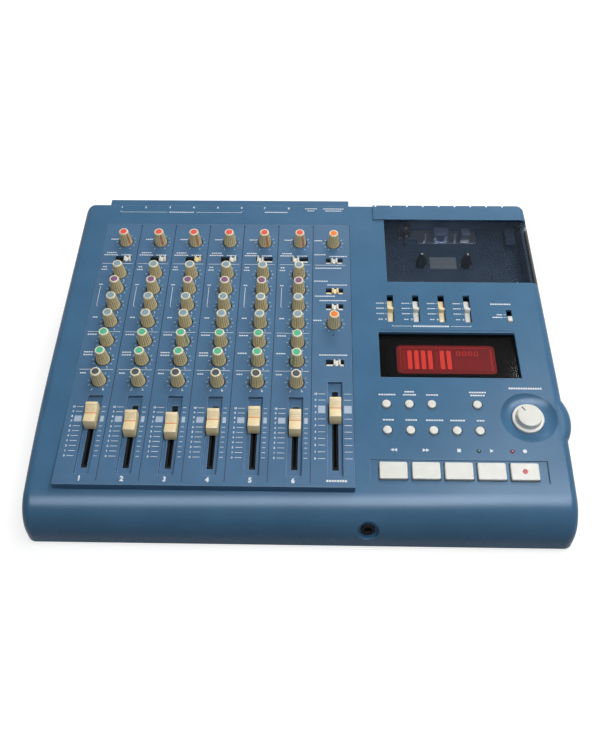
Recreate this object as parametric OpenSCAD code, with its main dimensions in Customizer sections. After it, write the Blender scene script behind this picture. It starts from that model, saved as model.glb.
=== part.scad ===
// Four track cassette recorder: a sloping case with a six channel mixer on the
// left and a cassette deck, display, buttons and transport keys on the right.
// Deck coordinates: x runs right from channel 1, v runs up the slope to the
// rear and w stands square to the deck. The deck frame is tilted into the body.

/* [Body] */
// Width of the shell, without the bulge beside the pitch knob
body_w = 424; // [421:0.5:430]
// Depth of the shell from the nose to the rear wall
body_d = 319; // [318:0.5:326]
// Slope of the deck in degrees
deck_tilt = 8; // [7:0.25:9]
// Wall of the top case
case_wall = 3; // [2.6:0.1:3.2]
// Radius of the round nose along the front
nose_r = 31.5; // [31:0.1:32]
// Rounding of the long side edges
edge_r = 8; // [6:0.5:9]
// Rounding of the rear corners seen from above
rear_corner_r = 10; // [6:0.5:12]
// Radius of the shallow curve that lowers the deck towards the nose
fall_r = 867; // [840:3:900]
// Place up the slope where that curve starts
fall_v = 110; // [108:0.5:112]
// Place up the slope of the nose's centre
nose_v = 1.5; // [1:0.1:1.8]
// Straight skirt below the nose
nose_drop = 7.5; // [6:0.25:9]
// Case to the left of channel 1
left_margin = 26; // [24:0.5:28]
// Floor of the bottom case
floor_t = 2.5; // [2:0.1:3]
// Height of the rubber feet
foot_h = 4; // [3:0.5:6]
// Radius of the rubber feet
foot_r = 8; // [6:0.5:10]
// Step of the jack panel behind the rear wall
ledge_out = 7; // [5:0.5:9]
// Raised strip over the door hinge
strip_h = 1.4; // [1:0.1:2]

/* [Mixer] */
// Distance from one channel to the next
channel_pitch = 32.5; // [32:0.1:32.8]
// Thickness of the mixer panel
panel_t = 3; // [2.6:0.1:3.4]
// Distance of the knobs from the left of their channel
knob_offset = 20; // [19:0.25:21]
// Radius of a knob at its foot
knob_r = 5.75; // [5.3:0.05:5.9]
// Radius of a knob at its top
knob_top_r = 4; // [3.7:0.05:4.3]
// Height of a knob over the panel
knob_h = 13.9; // [12.5:0.1:15]
// Radius of the coloured insert in a knob
insert_r = 2.7; // [2.4:0.05:2.9]
// Radius of the panel hole round a knob
knob_hole_r = 6.75; // [6.4:0.05:7]
// Radius of the shaft of a rotary control
shaft_r = 3; // [2.5:0.05:3]
// Width of a fader recess
recess_w = 12; // [11:0.1:12.4]
// Depth of a fader recess
recess_d = 4; // [3:0.1:4.4]
// Width of a fader cap
fader_cap_w = 10.6; // [9:0.1:11]
// Length of a fader cap
fader_cap_l = 21; // [18:0.5:22]
// Height of a fader cap
fader_cap_h = 12.4; // [11:0.1:14]
// Travel of a channel fader
fader_travel = 45; // [40:1:45]
// Travel of the master fader
master_travel = 60; // [54:1:60]

/* [Tape deck] */
// Distance between the reel spindles of a standard cassette
hub_pitch = 42.5; // [42.5:0.1:42.6]
// Radius of a reel spindle
spindle_r = 4.4; // [4:0.05:4.6]
// Thickness of the smoked door
door_t = 2.5; // [2.2:0.1:2.8]
// Depth of the cassette well under the deck
well_depth = 22; // [21:0.25:23]
// Wall of the cassette well
well_wall = 2.3; // [2:0.1:2.4]
// Radius of the hinge trunnions of the door
trunnion_r = 1.5; // [1.3:0.05:1.6]
// Radius of the capstan shaft
capstan_r = 1.25; // [1:0.05:1.5]
// Radius of the flywheel
flywheel_r = 16.5; // [15:0.5:17]
// Radius of the pinch roller
roller_r = 5.5; // [5:0.1:5.8]
// Radius of the motor
motor_r = 13; // [11:0.5:13.5]

/* [Controls] */
// Width of a transport key
key_w = 21.6; // [20:0.2:22.4]
// Depth of a transport key
key_l = 13.8; // [12:0.2:14.6]
// Distance from one key to the next
key_pitch = 25.1; // [24.6:0.1:25.3]
// Height of a key over the deck
key_rise = 1.6; // [1.2:0.1:2.4]
// Travel of a key
key_travel = 2; // [1:0.1:2]
// Radius of a round button
button_r = 3.5; // [3:0.05:3.8]
// Travel of a round button
button_travel = 1; // [0.6:0.1:1]
// Radius of the pitch knob
pitch_r = 12.75; // [12:0.25:13]
// Radius of the bowl round the pitch knob
bowl_r = 22.5; // [21:0.25:23]
// Radius of the bulge of the case round the pitch knob
bulge_r = 35; // [33.5:0.25:36]
// Width of a record switch slot
switch_slot_w = 5.6; // [5.2:0.1:6]
// Length of a record switch slot
switch_slot_l = 30; // [28:0.5:30]
// Distance from one record switch to the next
switch_pitch = 22.3; // [21.5:0.1:22.5]

/* [Sockets] */
// Radius of the bore of a 6.35 mm socket
jack_bore_r = 3.25; // [3.2:0.01:3.3]
// Depth of the bore of a 6.35 mm socket
jack_bore_l = 28; // [26:0.5:30]
// Radius of the threaded collar of a socket
jack_collar_r = 4.7; // [4.4:0.05:5]
// Distance from one rear socket to the next
jack_pitch = 22.85; // [22:0.05:22.9]
// Place of the headphone socket round the nose in degrees
phones_rise = 20; // [18:1:24]
// Upward lean of the headphone socket in degrees
phones_lean = 10; // [6:1:12]

/* [Fits] */
// Radial clearance of a turning shaft
run_fit = 0.05; // [0.02:0.01:0.08]
// Clearance round sliding caps and keys
slide_gap = 0.4; // [0.3:0.05:0.5]
// Clearance between the two halves of the case
case_fit = 0.2; // [0.1:0.05:0.3]

/* [Hidden] */
// body outline
left_x = -left_margin;
right_x = left_x + body_w;
under = 140;
nose_w = sqrt(pow(fall_r - nose_r, 2) - pow(fall_v - nose_v, 2)) - fall_r;
fall_end = asin((fall_v - nose_v) / (fall_r - nose_r));
function raw_y(v, w) = v * cos(deck_tilt) - w * sin(deck_tilt);
function raw_z(v, w) = v * sin(deck_tilt) + w * cos(deck_tilt);
jack_nut_t = 2.5;
collar_out = 3.5;
front_y = raw_y(nose_v, nose_w) - nose_r;
wall_y = front_y + body_d;
rear_y = wall_y + ledge_out + collar_out;

// controls on the right of the deck
deck_left = 251.5;
pitch_x = 368;
pitch_v = 63;
bulge_sink = 0.25;
bowl_d = 4;
cup_d = 6.5;
cup_t = 2.5;
deck_x = -(left_x + max(right_x, pitch_x + bulge_r)) / 2;
deck_y = -(front_y + rear_y) / 2;
deck_z = foot_h + nose_drop - raw_z(nose_v, nose_w);
nose_z = foot_h + nose_drop;
nose_lap = 0.03;
base_z = foot_h;
key_v = 15.9;
first_key_x = 258.5;
key_recess = 1.2;
key_recess_l = 18.4;
key_recess_x = [240.7, 377.2];
key_depth = 4.5;
key_names = ["rewind", "fast_forward", "stop", "play", "record"];
button_v = 61.6;
button_step = 23.4;
upper_buttons = [255.3, 273.6, 291.7, 328];
lower_buttons = [255.2, 273.5, 291.6, 309.9, 327.9];
button_ring = 0.75;
button_rise = 1.5;
led_x = [325.5, 351.3];
led_v = 33;
led_r = 1.5;
control_board_w = 13;
board_t = 1.6;

// mixer panel
channels = 6;
master_x = channels * channel_pitch;
panel_x = [-1, 228.6];
panel_v = [-1.3, 272];
panel_skirt = 10.5;
panel_rim = 2.5;
panel_gap = 0.3;
knob_rows = [248.7, 209.4, 191.2, 172.6, 153.9, 133.2, 113.9, 92.6];
knob_names = ["trim", "high", "mid_frequency", "mid_gain", "low",
              "effect_1", "effect_2", "pan"];
level_x = 213.6;
level_rows = [248.1, 153.8];
knob_foot = 0.8;
recess_x = 13.9;
recess_v = [7.6, 78.6];
master_recess_x = 208.1;
master_recess_v = [7.7, 93.8];
trough_t = 2;
slot_w = 5;
lever_w = 1.2;
lever_l = 4;
fader_zero_v = 21.2;
master_zero_v = 21.3;
fader_at = [58, 51, 49.2, 53.2, 55.5, 53.2];
master_at = 64.9;
cap_gap = 0.7;
cap_top_w = fader_cap_h - recess_d + cap_gap;
fader_top_w = recess_d + trough_t + 0.3;
mixer_board_w = 17;
input_switch_v = 227.6;
input_switch_x = 20.2;
column_switch_x = 214.3;
column_switch_v = [226.4, 190.6, 172.4, 112.8];
slide_slot = [15.4, 6.8];
post_v = [80, 145, 219.5];
post_r = 3;

// cassette deck
door_x = 261.6;
door_v = [202, 278.5];
door_gap = 0.4;
door_skirt = 12;
hinge_v = 275.5;
hinge_w = -6;
hinge_sweep = 7.1;
hinge_knuckle_r = 3;
well_v = [door_v[0], 287];
well_x = [door_x, 391];
spindle_x = [318 - hub_pitch / 2, 318 + hub_pitch / 2];
hub_v = 243.8;
capstan_x = 284;
capstan_v = 268.4;
floor_w = -well_depth;
well_floor_t = 2;
plate_w = floor_w - well_floor_t - 2;
plate_t = 1.5;
reel_disc_r = 15;
bridge_travel = 4;
bridge_t = 1.2;
bridge_w = floor_w + 0.3;
tape_w = floor_w + 6.4;
roller_v = capstan_v + capstan_r + roller_r + bridge_travel + 0.5;
motor_x = 374;
motor_v = 226;
flywheel_w = plate_w - plate_t - 16;
flywheel_t = 6;
pulley_r = 4;
belt_t = 1;
belt_gap = 0.3;

// record and speed switches
first_switch_x = 263.1;
speed_x = 365.6;
speed_slot_v = 163.7;
speed_slot = [4.4, 14.5];
speed_v = 160.6;

// display
display_x = [251.6, 367.2];
display_v = [99, 145.5];
// the record switches stand between the display and the door, their ridges near the middle
switch_v = (display_v[1] + door_v[0]) / 2 - 2.15;
switch_ridge_v = switch_v - 0.6;
window_t = 2;
window_lap = 1.5;

// sockets and screws
jack_x0 = 8.8;
jack_count = 10;
jack_z_drop = 24;
ledge_x = [-2, 228.5];
ledge_wall = 3;
ledge_h = 62;
power_x = 254;
power_z = 45;
phones_x = 239;
phones_dish_r = 8.3;
phones_dish_d = 3;
phones_collar_r = 5.4;
boss_r = 4.2;
screw_r = 1.5;
screw_head_r = 2.8;
screw_head_t = 1.5;
screw_l = 12;
boss_places = [[left_x + 12, 25], [left_x + 12, 150], [left_x + 12, 282], [244.5, 42],
               [240, 150], [240, 284], [right_x - 13.5, 118], [right_x - 12, 192],
               [right_x - 14, 22]];
facets = 64;
fine = 96;

shell_blue = "#4A7599";
knob_beige = "#E3D0A2";
key_white = "#ECECE4";
dark = "#1B2026";
steel = "#B8BCC0";

// how far the deck has fallen at v, and how much it leans there
function fall(v) = v >= fall_v ? 0 : sqrt(pow(fall_r, 2) - pow(fall_v - v, 2)) - fall_r;
function fall_lean(v) = v >= fall_v ? 0 : asin((fall_v - v) / fall_r);
function channel_x(i) = i * channel_pitch;

module on_deck() {
    translate([deck_x, deck_y, deck_z]) rotate([deck_tilt, 0, 0]) children();
}

module on_fall(v) {
    on_deck() translate([0, v, fall(v)]) rotate([fall_lean(v), 0, 0]) children();
}

// a box given by its lowest and highest corners
module box(low, high) {
    translate(low) cube(high - low);
}

module rod(r, low, high, sides = facets) {
    translate([0, 0, low]) cylinder(r = r, h = high - low, $fn = sides);
}

// cross-section of the case at a radius: round outer corners, inset by i
module case_profile(inner, outer, i) {
    r = edge_r - i;
    translate([inner, left_x + i]) square([outer - i - r - inner, body_w - 2 * i]);
    translate([inner, left_x + edge_r]) square([outer - i - inner, body_w - 2 * edge_r]);
    for (x = [left_x + edge_r, right_x - edge_r])
        translate([outer - edge_r, x]) circle(r = r, $fn = facets);
}

// flat rear part of the case, from v = start to v = end
module flat_part(i, start, end) {
    translate([0, end, 0]) rotate([90, 0, 0]) linear_extrude(height = end - start)
        translate([0, -under]) mirror([1, -1]) case_profile(0, under, i);
}

// solid form of the case, all sides inset by i, with its foot at z = foot
module case_form(i, foot) {
    intersection() {
        union() {
            on_deck() {
                flat_part(i, fall_v, fall_v + 250);
                translate([0, fall_v, -fall_r]) rotate([0, 90, 0]) rotate([0, 0, 180])
                    rotate_extrude(angle = fall_end, $fn = 720)
                        case_profile(fall_r - under, fall_r, i);
                translate([0, nose_v, nose_w]) rotate([0, 90, 0])
                    rotate_extrude($fn = fine) case_profile(0, nose_r, i - nose_lap);
            }
            translate([deck_x, deck_y + front_y, foot])
                linear_extrude(height = nose_z - foot) base_outline(i);
            bulge(i);
        }
        rear_limit(i, foot);
    }
}

// outline of the straight skirt under the nose
module base_outline(i) {
    translate([left_x + i, edge_r]) square([body_w - 2 * i, body_d - edge_r]);
    translate([left_x + edge_r, i]) square([body_w - 2 * edge_r, body_d - i]);
    for (x = [left_x + edge_r, right_x - edge_r])
        translate([x, edge_r]) circle(r = edge_r - i + nose_lap / 2, $fn = facets);
}

// plan limit with round rear corners
module rear_limit(i, foot) {
    r = rear_corner_r - i;
    side = max(right_x, pitch_x + bulge_r) + 1;
    translate([deck_x, deck_y, foot]) linear_extrude(height = 150) {
        translate([left_x - 1, front_y - 1])
            square([side - left_x + 1, body_d + 1 - rear_corner_r]);
        translate([left_x + rear_corner_r, front_y - 1])
            square([body_w - 2 * rear_corner_r, body_d + 1 - i]);
        for (x = [left_x + rear_corner_r, right_x - rear_corner_r])
            translate([x, wall_y - rear_corner_r]) circle(r = r, $fn = facets);
    }
}

// swelling of the right side round the pitch knob
module bulge(i) {
    r = edge_r - i;
    intersection() {
        on_fall(pitch_v) translate([pitch_x, 0, -bulge_sink]) rotate_extrude($fn = fine) {
            translate([0, -under]) square([bulge_r - i, under - edge_r]);
            translate([0, -under]) square([bulge_r - edge_r, under - i]);
            translate([bulge_r - edge_r, -edge_r]) circle(r = r, $fn = facets);
        }
        translate([deck_x + right_x - edge_r, deck_y + front_y, 0]) cube([60, body_d, 150]);
    }
}

// raised strip that covers the door hinge
module hinge_strip() {
    intersection() {
        on_deck() translate([0, 0, strip_h]) flat_part(0, door_v[1] + door_gap, fall_v + 250);
        rear_limit(0, base_z);
        on_deck() box([deck_left, 0, -1], [right_x + 1, 400, strip_h + 1]);
    }
}

// opening for the mixer panel, down to the given depth
module panel_space(depth) {
    box([panel_x[0] - panel_gap, panel_v[0] - panel_gap, -depth],
        [panel_x[1] + panel_gap, panel_v[1] + panel_gap, 5]);
}

module boss_rods(r, low, high) {
    for (p = boss_places)
        translate([deck_x + p[0], deck_y + p[1], 0]) rod(r, low, high, 48);
}

module top_case() {
    color(shell_blue) difference() {
        union() {
            difference() {
                union() {
                    case_form(0, base_z);
                    hinge_strip();
                }
                case_form(case_wall, base_z - 1);
                on_deck() panel_space(under / 2);
            }
            intersection() {
                union() {
                    boss_rods(boss_r, base_z + floor_t, 140);
                    on_fall(pitch_v) translate([pitch_x, 0, 0]) rod(bowl_r, -cup_d - cup_t, -1, fine);
                    on_fall(key_v) for (x = [258, 308, 358], y = [-10.5, 10.5])
                        translate([x, y, 0]) rod(2.5, -control_board_w, -2, 48);
                    on_fall(button_v) for (x = [264.4, 318.9], y = [-3, 3])
                        translate([x, y, 0]) rod(2, -control_board_w, -2, 48);
                    phones_axis() rod(phones_dish_r + 2, -9, -1);
                }
                case_form(1, base_z);
            }
        }
        case_cuts();
    }
}

// everything cut out of the top case
module case_cuts() {
    on_deck() {
        // door opening, open to the right side
        box([door_x, door_v[0], -door_skirt - door_gap], [right_x + 1, door_v[1] - 5, 5]);
        box([door_x, door_v[0], -5], [right_x + 1, door_v[1] + door_gap, 5]);
        translate([door_x, hinge_v, hinge_w]) rotate([0, 90, 0])
            rod(hinge_sweep, 0, right_x - door_x + 1);
        // display
        box([display_x[0], display_v[0], -under / 2], [display_x[1], display_v[1], 5]);
        for (i = [0:3]) slot(first_switch_x + i * switch_pitch, switch_v,
                             [switch_slot_w, switch_slot_l]);
        slot(speed_x, speed_slot_v, speed_slot);
    }
    on_fall(key_v) {
        box([key_recess_x[0], -key_recess_l / 2, -key_recess],
            [key_recess_x[1], key_recess_l / 2, 5]);
        for (i = [0:4])
            translate([first_key_x + i * key_pitch, 0, 0]) cube([key_w + 2 * slide_gap,
                key_l + 2 * slide_gap, 12], center = true);
        for (x = led_x) translate([x, led_v - key_v, 0]) rod(led_r + 0.1, -8, 5, 32);
    }
    on_fall(button_v) each_button() {
        rod(button_r + slide_gap, -6, 5, 48);
        rod(button_r + button_ring, -0.8, 5, 48);
    }
    on_fall(pitch_v) translate([pitch_x, 0, 0]) {
        rotate_extrude($fn = fine) bowl_cut();
        rod(pitch_r + slide_gap, -cup_d, 5);
        rod(shaft_r + slide_gap, -12, 5, 48);
    }
    boss_rods(screw_r + run_fit, base_z, base_z + screw_l + 1);
    rear_openings();
    phones_axis() {
        rod(phones_dish_r, -phones_dish_d, 10);
        rod(phones_collar_r + 0.1, -12, 10);
    }
}

// a straight opening through the deck
module slot(x, v, size) {
    box([x - size[0] / 2, v - size[1] / 2, -case_wall - 1],
        [x + size[0] / 2, v + size[1] / 2, 5]);
}

// hollow of the bowl round the pitch knob
module bowl_cut() {
    run = bowl_r - pitch_r;
    r = (run * run + bowl_d * bowl_d) / (2 * bowl_d);
    translate([0, -bowl_d]) square([pitch_r, bowl_d + 5]);
    translate([0, -bulge_sink]) square([bowl_r, 5]);
    intersection() {
        translate([0, -bowl_d]) square([bowl_r, bowl_d]);
        translate([pitch_r, r - bowl_d]) circle(r = r, $fn = fine);
    }
}

// openings of the rear wall: sockets, power inlet and vents
module rear_openings() {
    top_z = deck_z + raw_z(wall_y / cos(deck_tilt), 0);
    translate([deck_x, deck_y + wall_y, 0]) {
        box([ledge_x[0] + ledge_wall, -case_wall - 2, top_z - ledge_h + ledge_wall],
            [ledge_x[1] - ledge_wall, 1, top_z - 14]);
        for (i = [0:8]) box([deck_left + 2 + i * 15.2, -case_wall - 1, top_z - 22],
                            [deck_left + 3.6 + i * 15.2, 1, top_z + 5]);
        translate([power_x, 0, power_z]) rotate([-90, 0, 0]) rod(5.1, -case_wall - 1, 1, 48);
    }
}

// places of the nine round buttons
module each_button() {
    for (x = upper_buttons) translate([x, button_step / 2, 0]) children();
    for (x = lower_buttons) translate([x, -button_step / 2, 0]) children();
}

// axis of the headphone socket, with z out of its mouth
module phones_axis() {
    translate([deck_x + phones_x, deck_y + front_y + nose_r * (1 - cos(phones_rise)),
               nose_z + nose_r * sin(phones_rise)])
        rotate([90 - phones_lean, 0, 0]) children();
}

module bottom_case() {
    inset = case_wall + case_fit;
    rim_t = 2;
    rim_h = 5;
    color(dark) difference() {
        union() {
            intersection() {
                case_form(inset, base_z);
                translate([-300, -300, 0]) cube([600, 600, base_z + floor_t]);
            }
            intersection() {
                difference() {
                    case_form(inset, base_z);
                    case_form(inset + rim_t, base_z - 1);
                }
                translate([-300, -300, 0]) cube([600, 600, base_z + floor_t + rim_h]);
            }
            for (x = [256, 372], y = [66, 184])
                translate([deck_x + x, deck_y + y, 0])
                    rod(3.5, base_z + 1, base_z + floor_t + 5, 48);
            panel_posts();
        }
        boss_rods(screw_r + 0.2, base_z - 1, base_z + floor_t + 1);
        boss_rods(screw_head_r + 0.2, base_z - 1, base_z + screw_head_t);
    }
}

// posts under the rim of the mixer panel
module panel_posts() {
    intersection() {
        on_deck() for (v = [14, 98, 182, 258]) {
            box([panel_x[0] - 3, v, -under], [panel_x[0] + 2.8, v + 10, -panel_skirt]);
            box([panel_x[1] - 2.8, v, -under], [panel_x[1] + 3, v + 10, -panel_skirt]);
        }
        translate([-300, -300, base_z + 1]) cube([600, 600, 200]);
    }
}

module case_screws() {
    color(steel) {
        boss_rods(screw_head_r, base_z, base_z + screw_head_t);
        boss_rods(screw_r, base_z + screw_head_t, base_z + screw_l);
    }
}

module feet() {
    color(dark) for (x = [left_x + 22, right_x - 22], y = [front_y + 30, wall_y - 22])
        translate([deck_x + x, deck_y + y, 0]) {
            rod(foot_r, 0.8, foot_h);
            cylinder(r1 = foot_r - 0.8, r2 = foot_r, h = 0.8, $fn = facets);
        }
}

// children at each knob of the six channels, from channel first to channel last
module each_knob(first, last) {
    for (i = [first:last], row = [0:7])
        translate([channel_x(i) + knob_offset, knob_rows[row], 0]) children();
}

module mixer_panel() {
    color(shell_blue) on_deck() difference() {
        union() {
            difference() {
                box([panel_x[0], panel_v[0], -panel_skirt], [panel_x[1], panel_v[1], 0]);
                box([panel_x[0] + panel_rim, panel_v[0] + panel_rim, -panel_skirt - 1],
                    [panel_x[1] - panel_rim, panel_v[1] - panel_rim, -panel_t]);
            }
            for (i = [0:channels - 1]) fader_recess(channel_x(i) + recess_x, recess_v, -trough_t);
            fader_recess(master_recess_x, master_recess_v, -trough_t);
            for (i = [1, 3, 5], v = post_v)
                translate([channel_x(i) + post_r, v, 0]) rod(post_r, -mixer_board_w, -1, 48);
        }
        for (i = [0:channels - 1]) {
            fader_recess(channel_x(i) + recess_x, recess_v, 0);
            slide_opening(channel_x(i) + input_switch_x, input_switch_v);
        }
        fader_recess(master_recess_x, master_recess_v, 0);
        each_knob(0, channels - 1) rod(knob_hole_r, -5, 5);
        for (v = level_rows) translate([level_x, v, 0]) rod(knob_hole_r, -5, 5);
        for (v = column_switch_v) slide_opening(column_switch_x, v);
    }
}

// a fader recess with its slot; a negative margin gives the block that holds it
module fader_recess(x, v, margin) {
    if (margin < 0)
        box([x + margin, v[0] + margin, -recess_d - trough_t],
            [x + recess_w - margin, v[1] - margin, -panel_t + 1]);
    else {
        box([x, v[0], -recess_d], [x + recess_w, v[1], 5]);
        box([x + (recess_w - slot_w) / 2, v[0] + 7, -10],
            [x + (recess_w + slot_w) / 2, v[1] - 7, 5]);
    }
}

module slide_opening(x, v) {
    box([x - slide_slot[0] / 2, v - slide_slot[1] / 2, -panel_t - 1],
        [x + slide_slot[0] / 2, v + slide_slot[1] / 2, 5]);
}

module slide_switches() {
    color(key_white) on_deck() {
        for (i = [0:channels - 1])
            slide_switch(channel_x(i) + input_switch_x, input_switch_v, i < 4 ? 3.6 : -3.6);
        for (v = column_switch_v) slide_switch(column_switch_x, v, 0);
    }
}

// a switch body on the mixer board and its ridged cap
module slide_switch(x, v, shift) {
    top = -panel_t - 0.2;
    box([x - 9, v - 4, -mixer_board_w], [x + 9, v + 4, top]);
    translate([x + shift, v, top]) difference() {
        box([-4, -2.9, 0], [4, 2.9, 4.6]);
        for (k = [-1, 1]) box([k * 1.9 - 0.6, -3, 3.4], [k * 1.9 + 0.6, 3, 5]);
    }
}

module rear_jack_panel() {
    top_z = deck_z + raw_z(wall_y / cos(deck_tilt), 0);
    out = wall_y + ledge_out;
    color(shell_blue) difference() {
        ledge_block([ledge_x[0], wall_y, top_z - ledge_h], [ledge_x[1], out, top_z + 5], 0);
        ledge_block([ledge_x[0] + ledge_wall, wall_y - 1, top_z - ledge_h + ledge_wall],
                    [ledge_x[1] - ledge_wall, out - ledge_wall, top_z], ledge_wall);
        each_jack() rod(jack_collar_r + run_fit, -10, 5, 48);
    }
}

// a block cut off by the slope of the deck, t below it
module ledge_block(low, high, t) {
    intersection() {
        translate([deck_x, deck_y, 0]) box(low, high);
        on_deck() box([-60, 200, -under], [400, 400, -t]);
    }
}

// each rear socket, with z out of its mouth and z = 0 on the panel's face
module each_jack() {
    z = deck_z + raw_z(wall_y / cos(deck_tilt), 0) - jack_z_drop;
    for (k = [0:jack_count - 1])
        translate([deck_x + jack_x0 + k * jack_pitch, deck_y + wall_y + ledge_out, z])
            rotate([-90, 0, 0]) children();
}

// a 6.35 mm socket: body, threaded collar and bore
module jack_body(panel, out) {
    deep = jack_bore_l - out + 3;
    difference() {
        union() {
            box([-6.8, -6.5, -deep], [6.8, 6.5, -panel]);
            rod(jack_collar_r, -panel, out, 48);
        }
        rod(jack_bore_r, out - jack_bore_l, out + 1, 48);
    }
}

module jack_nut(across) {
    difference() {
        rod(across, 0, jack_nut_t, 6);
        rod(jack_collar_r + run_fit, -1, jack_nut_t + 1, 48);
    }
}

module jack_sockets() {
    color(steel) {
        each_jack() {
            jack_body(ledge_wall, collar_out);
            jack_nut(6.8);
        }
        phones_axis() difference() {
            union() {
                box([-6.8, -6, -jack_bore_l - 5], [6.8, 6, -9.2]);
                rod(phones_collar_r, -9.2, -1.2);
            }
            rod(jack_bore_r, -jack_bore_l - 2, 1, 48);
        }
        // low voltage inlet with its centre pin
        translate([deck_x + power_x, deck_y + wall_y, power_z]) rotate([-90, 0, 0]) {
            difference() {
                union() {
                    box([-7, -6, -16], [7, 6, -case_wall]);
                    rod(5, -case_wall, 0.4, 48);
                }
                rod(2.8, -12, 1, 48);
            }
            rod(1.05, -12, -1, 32);
        }
    }
}

module display_window() {
    color("#101014") on_deck()
        box([display_x[0] - window_lap, display_v[0] - window_lap, -case_wall - window_t],
            [display_x[1] + window_lap, display_v[1] + window_lap, -case_wall - 0.15]);
}

module display_module() {
    top = -case_wall - window_t;
    color("#7A1518") on_deck() {
        box([258, display_v[0] + 4, top - 7], [360, display_v[1] - 4, top - 0.3]);
        box([display_x[0], display_v[0], top - 7 - board_t],
            [display_x[1] - 0.4, display_v[1], top - 7]);
        for (x = [display_x[0] + 2.5, display_x[1] - 3], v = [display_v[0] + 2, display_v[1] - 2])
            translate([x, v, 0]) rod(2, top - 7, top, 32);
    }
}

module potentiometers() {
    color("#8A9097") {
        on_deck() {
            each_knob(0, channels - 1) pot_body(-mixer_board_w, -9.5, 5.5, 4.2);
            for (v = level_rows) translate([level_x, v, 0])
                pot_body(-mixer_board_w, -9.5, 5.5, 4.2);
        }
        on_fall(pitch_v) translate([pitch_x, 0, 0])
            pot_body(-cup_d - cup_t - 9, -cup_d - cup_t - 1.4, 8, 8);
    }
}

// body of a rotary control with a low collar and the bore of its shaft
module pot_body(low, high, half, collar) {
    difference() {
        union() {
            box([-half, -half, low], [half, half, high]);
            rod(collar, high, high + 1.4, 48);
        }
        rod(shaft_r + run_fit, low + 1, high + 3, 48);
    }
}

module fader_units() {
    color(steel) on_deck() {
        for (i = [0:channels - 1])
            fader_unit(channel_x(i) + recess_x, fader_zero_v, fader_travel);
        fader_unit(master_recess_x, master_zero_v, master_travel);
    }
}

// track of a fader: a closed channel with a slot for the lever
module fader_unit(x, zero, travel) {
    mid = x + recess_w / 2;
    run = [zero - 6, zero + travel + 6];
    difference() {
        box([mid - 4.8, run[0], -mixer_board_w], [mid + 4.8, run[1], -fader_top_w]);
        box([mid - 3.7, run[0] + 1, 1 - mixer_board_w], [mid + 3.7, run[1] - 1, -fader_top_w - 1]);
        box([mid - lever_w / 2 - slide_gap, run[0] + 3, -fader_top_w - 2],
            [mid + lever_w / 2 + slide_gap, run[1] - 3, 0]);
    }
}

// cap and lever of the fader in the recess at x, standing at v
module fader_cap(x, v) {
    half = fader_cap_l / 2;
    low = cap_gap - recess_d;
    top = cap_top_w;
    carriage_w = -fader_top_w - 2;
    color("#F3DFB0") on_deck() translate([x + recess_w / 2, v, 0]) {
        translate([fader_cap_w / 2, 0, 0]) rotate([90, 0, -90])
            linear_extrude(height = fader_cap_w)
                polygon([[-half, low], [half, low], [half, top - 4.6], [half - 3, top],
                         [1, top - 0.6], [0, top - 1.3], [-1, top - 0.6], [3 - half, top],
                         [-half, top - 4.6]]);
        box([-lever_w / 2, -lever_l / 2, carriage_w], [lever_w / 2, lever_l / 2, low]);
        box([-3.4, -4, carriage_w - 3], [3.4, 4, carriage_w]);
    }
}

// rotary knob with its insert and shaft, standing on the deck at x, v
module knob(x, v, mark) {
    on_deck() translate([x, v, 0]) {
        color(knob_beige) difference() {
            translate([0, 0, -knob_foot])
                cylinder(r1 = knob_r, r2 = knob_top_r, h = knob_h + knob_foot, $fn = facets);
            rod(shaft_r + 0.02, -knob_foot - 1, 9, 48);
            rod(insert_r + 0.05, knob_h - 1.2, knob_h + 1, 48);
            box([-0.4, insert_r + 0.4, knob_h - 3], [0.4, knob_r, knob_h + 1]);
        }
        color(mark) rod(insert_r, knob_h - 1.2, knob_h + 0.2, 48);
        color(steel) rod(shaft_r, 1.3 - mixer_board_w, 9, 48);
    }
}

knob_marks = ["#F2665A", "#8FA9B5", "#8A5A86", "#8FA9B5", "#8FA9B5", "#5BC79C",
              "#5BC79C", "#5A5F63"];

module channel_1_knob(row) {
    knob(knob_offset, knob_rows[row], knob_marks[row]);
}

module channel_knobs_2_to_6() {
    for (i = [1:channels - 1], row = [0:7])
        knob(channel_x(i) + knob_offset, knob_rows[row], knob_marks[row]);
}

module pitch_knob() {
    foot = 0.3 - cup_d;
    color(key_white) on_fall(pitch_v) translate([pitch_x, 0, 0]) {
        difference() {
            union() {
                rod(pitch_r, foot, -1.8, fine);
                translate([0, 0, -1.8]) cylinder(r1 = 10.2, r2 = 9.6, h = 5.2, $fn = fine);
            }
            rod(shaft_r + 0.02, foot - 1, 0, 48);
            rotate([0, 0, 37]) box([-0.5, 5, 2.9], [0.5, 9.2, 6]);
        }
        rod(shaft_r, 1.3 - cup_d - cup_t - 9, 0, 48);
    }
}

module transport_key(i, dot) {
    color(key_white) on_fall(key_v) translate([first_key_x + i * key_pitch, 0, 0]) {
        difference() {
            union() {
                box([-key_w / 2, -key_l / 2, -key_depth], [key_w / 2, key_l / 2, key_rise]);
                rod(2, -control_board_w + 6.1, -key_depth, 32);
            }
            if (dot) rod(2, key_rise - 0.6, key_rise + 1, 32);
        }
        if (dot) color("#D8232A") rod(1.95, key_rise - 0.6, key_rise, 32);
    }
}

module round_button(x, side) {
    low = -case_wall - 0.4;
    color(key_white) on_fall(button_v) translate([x, side * button_step / 2, 0]) {
        rod(button_r, low, button_rise, 48);
        rod(button_r + 1.1, low - 1.3, low, 48);
        rod(1.5, -control_board_w + 4.8, low - 1.3, 32);
    }
}

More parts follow.
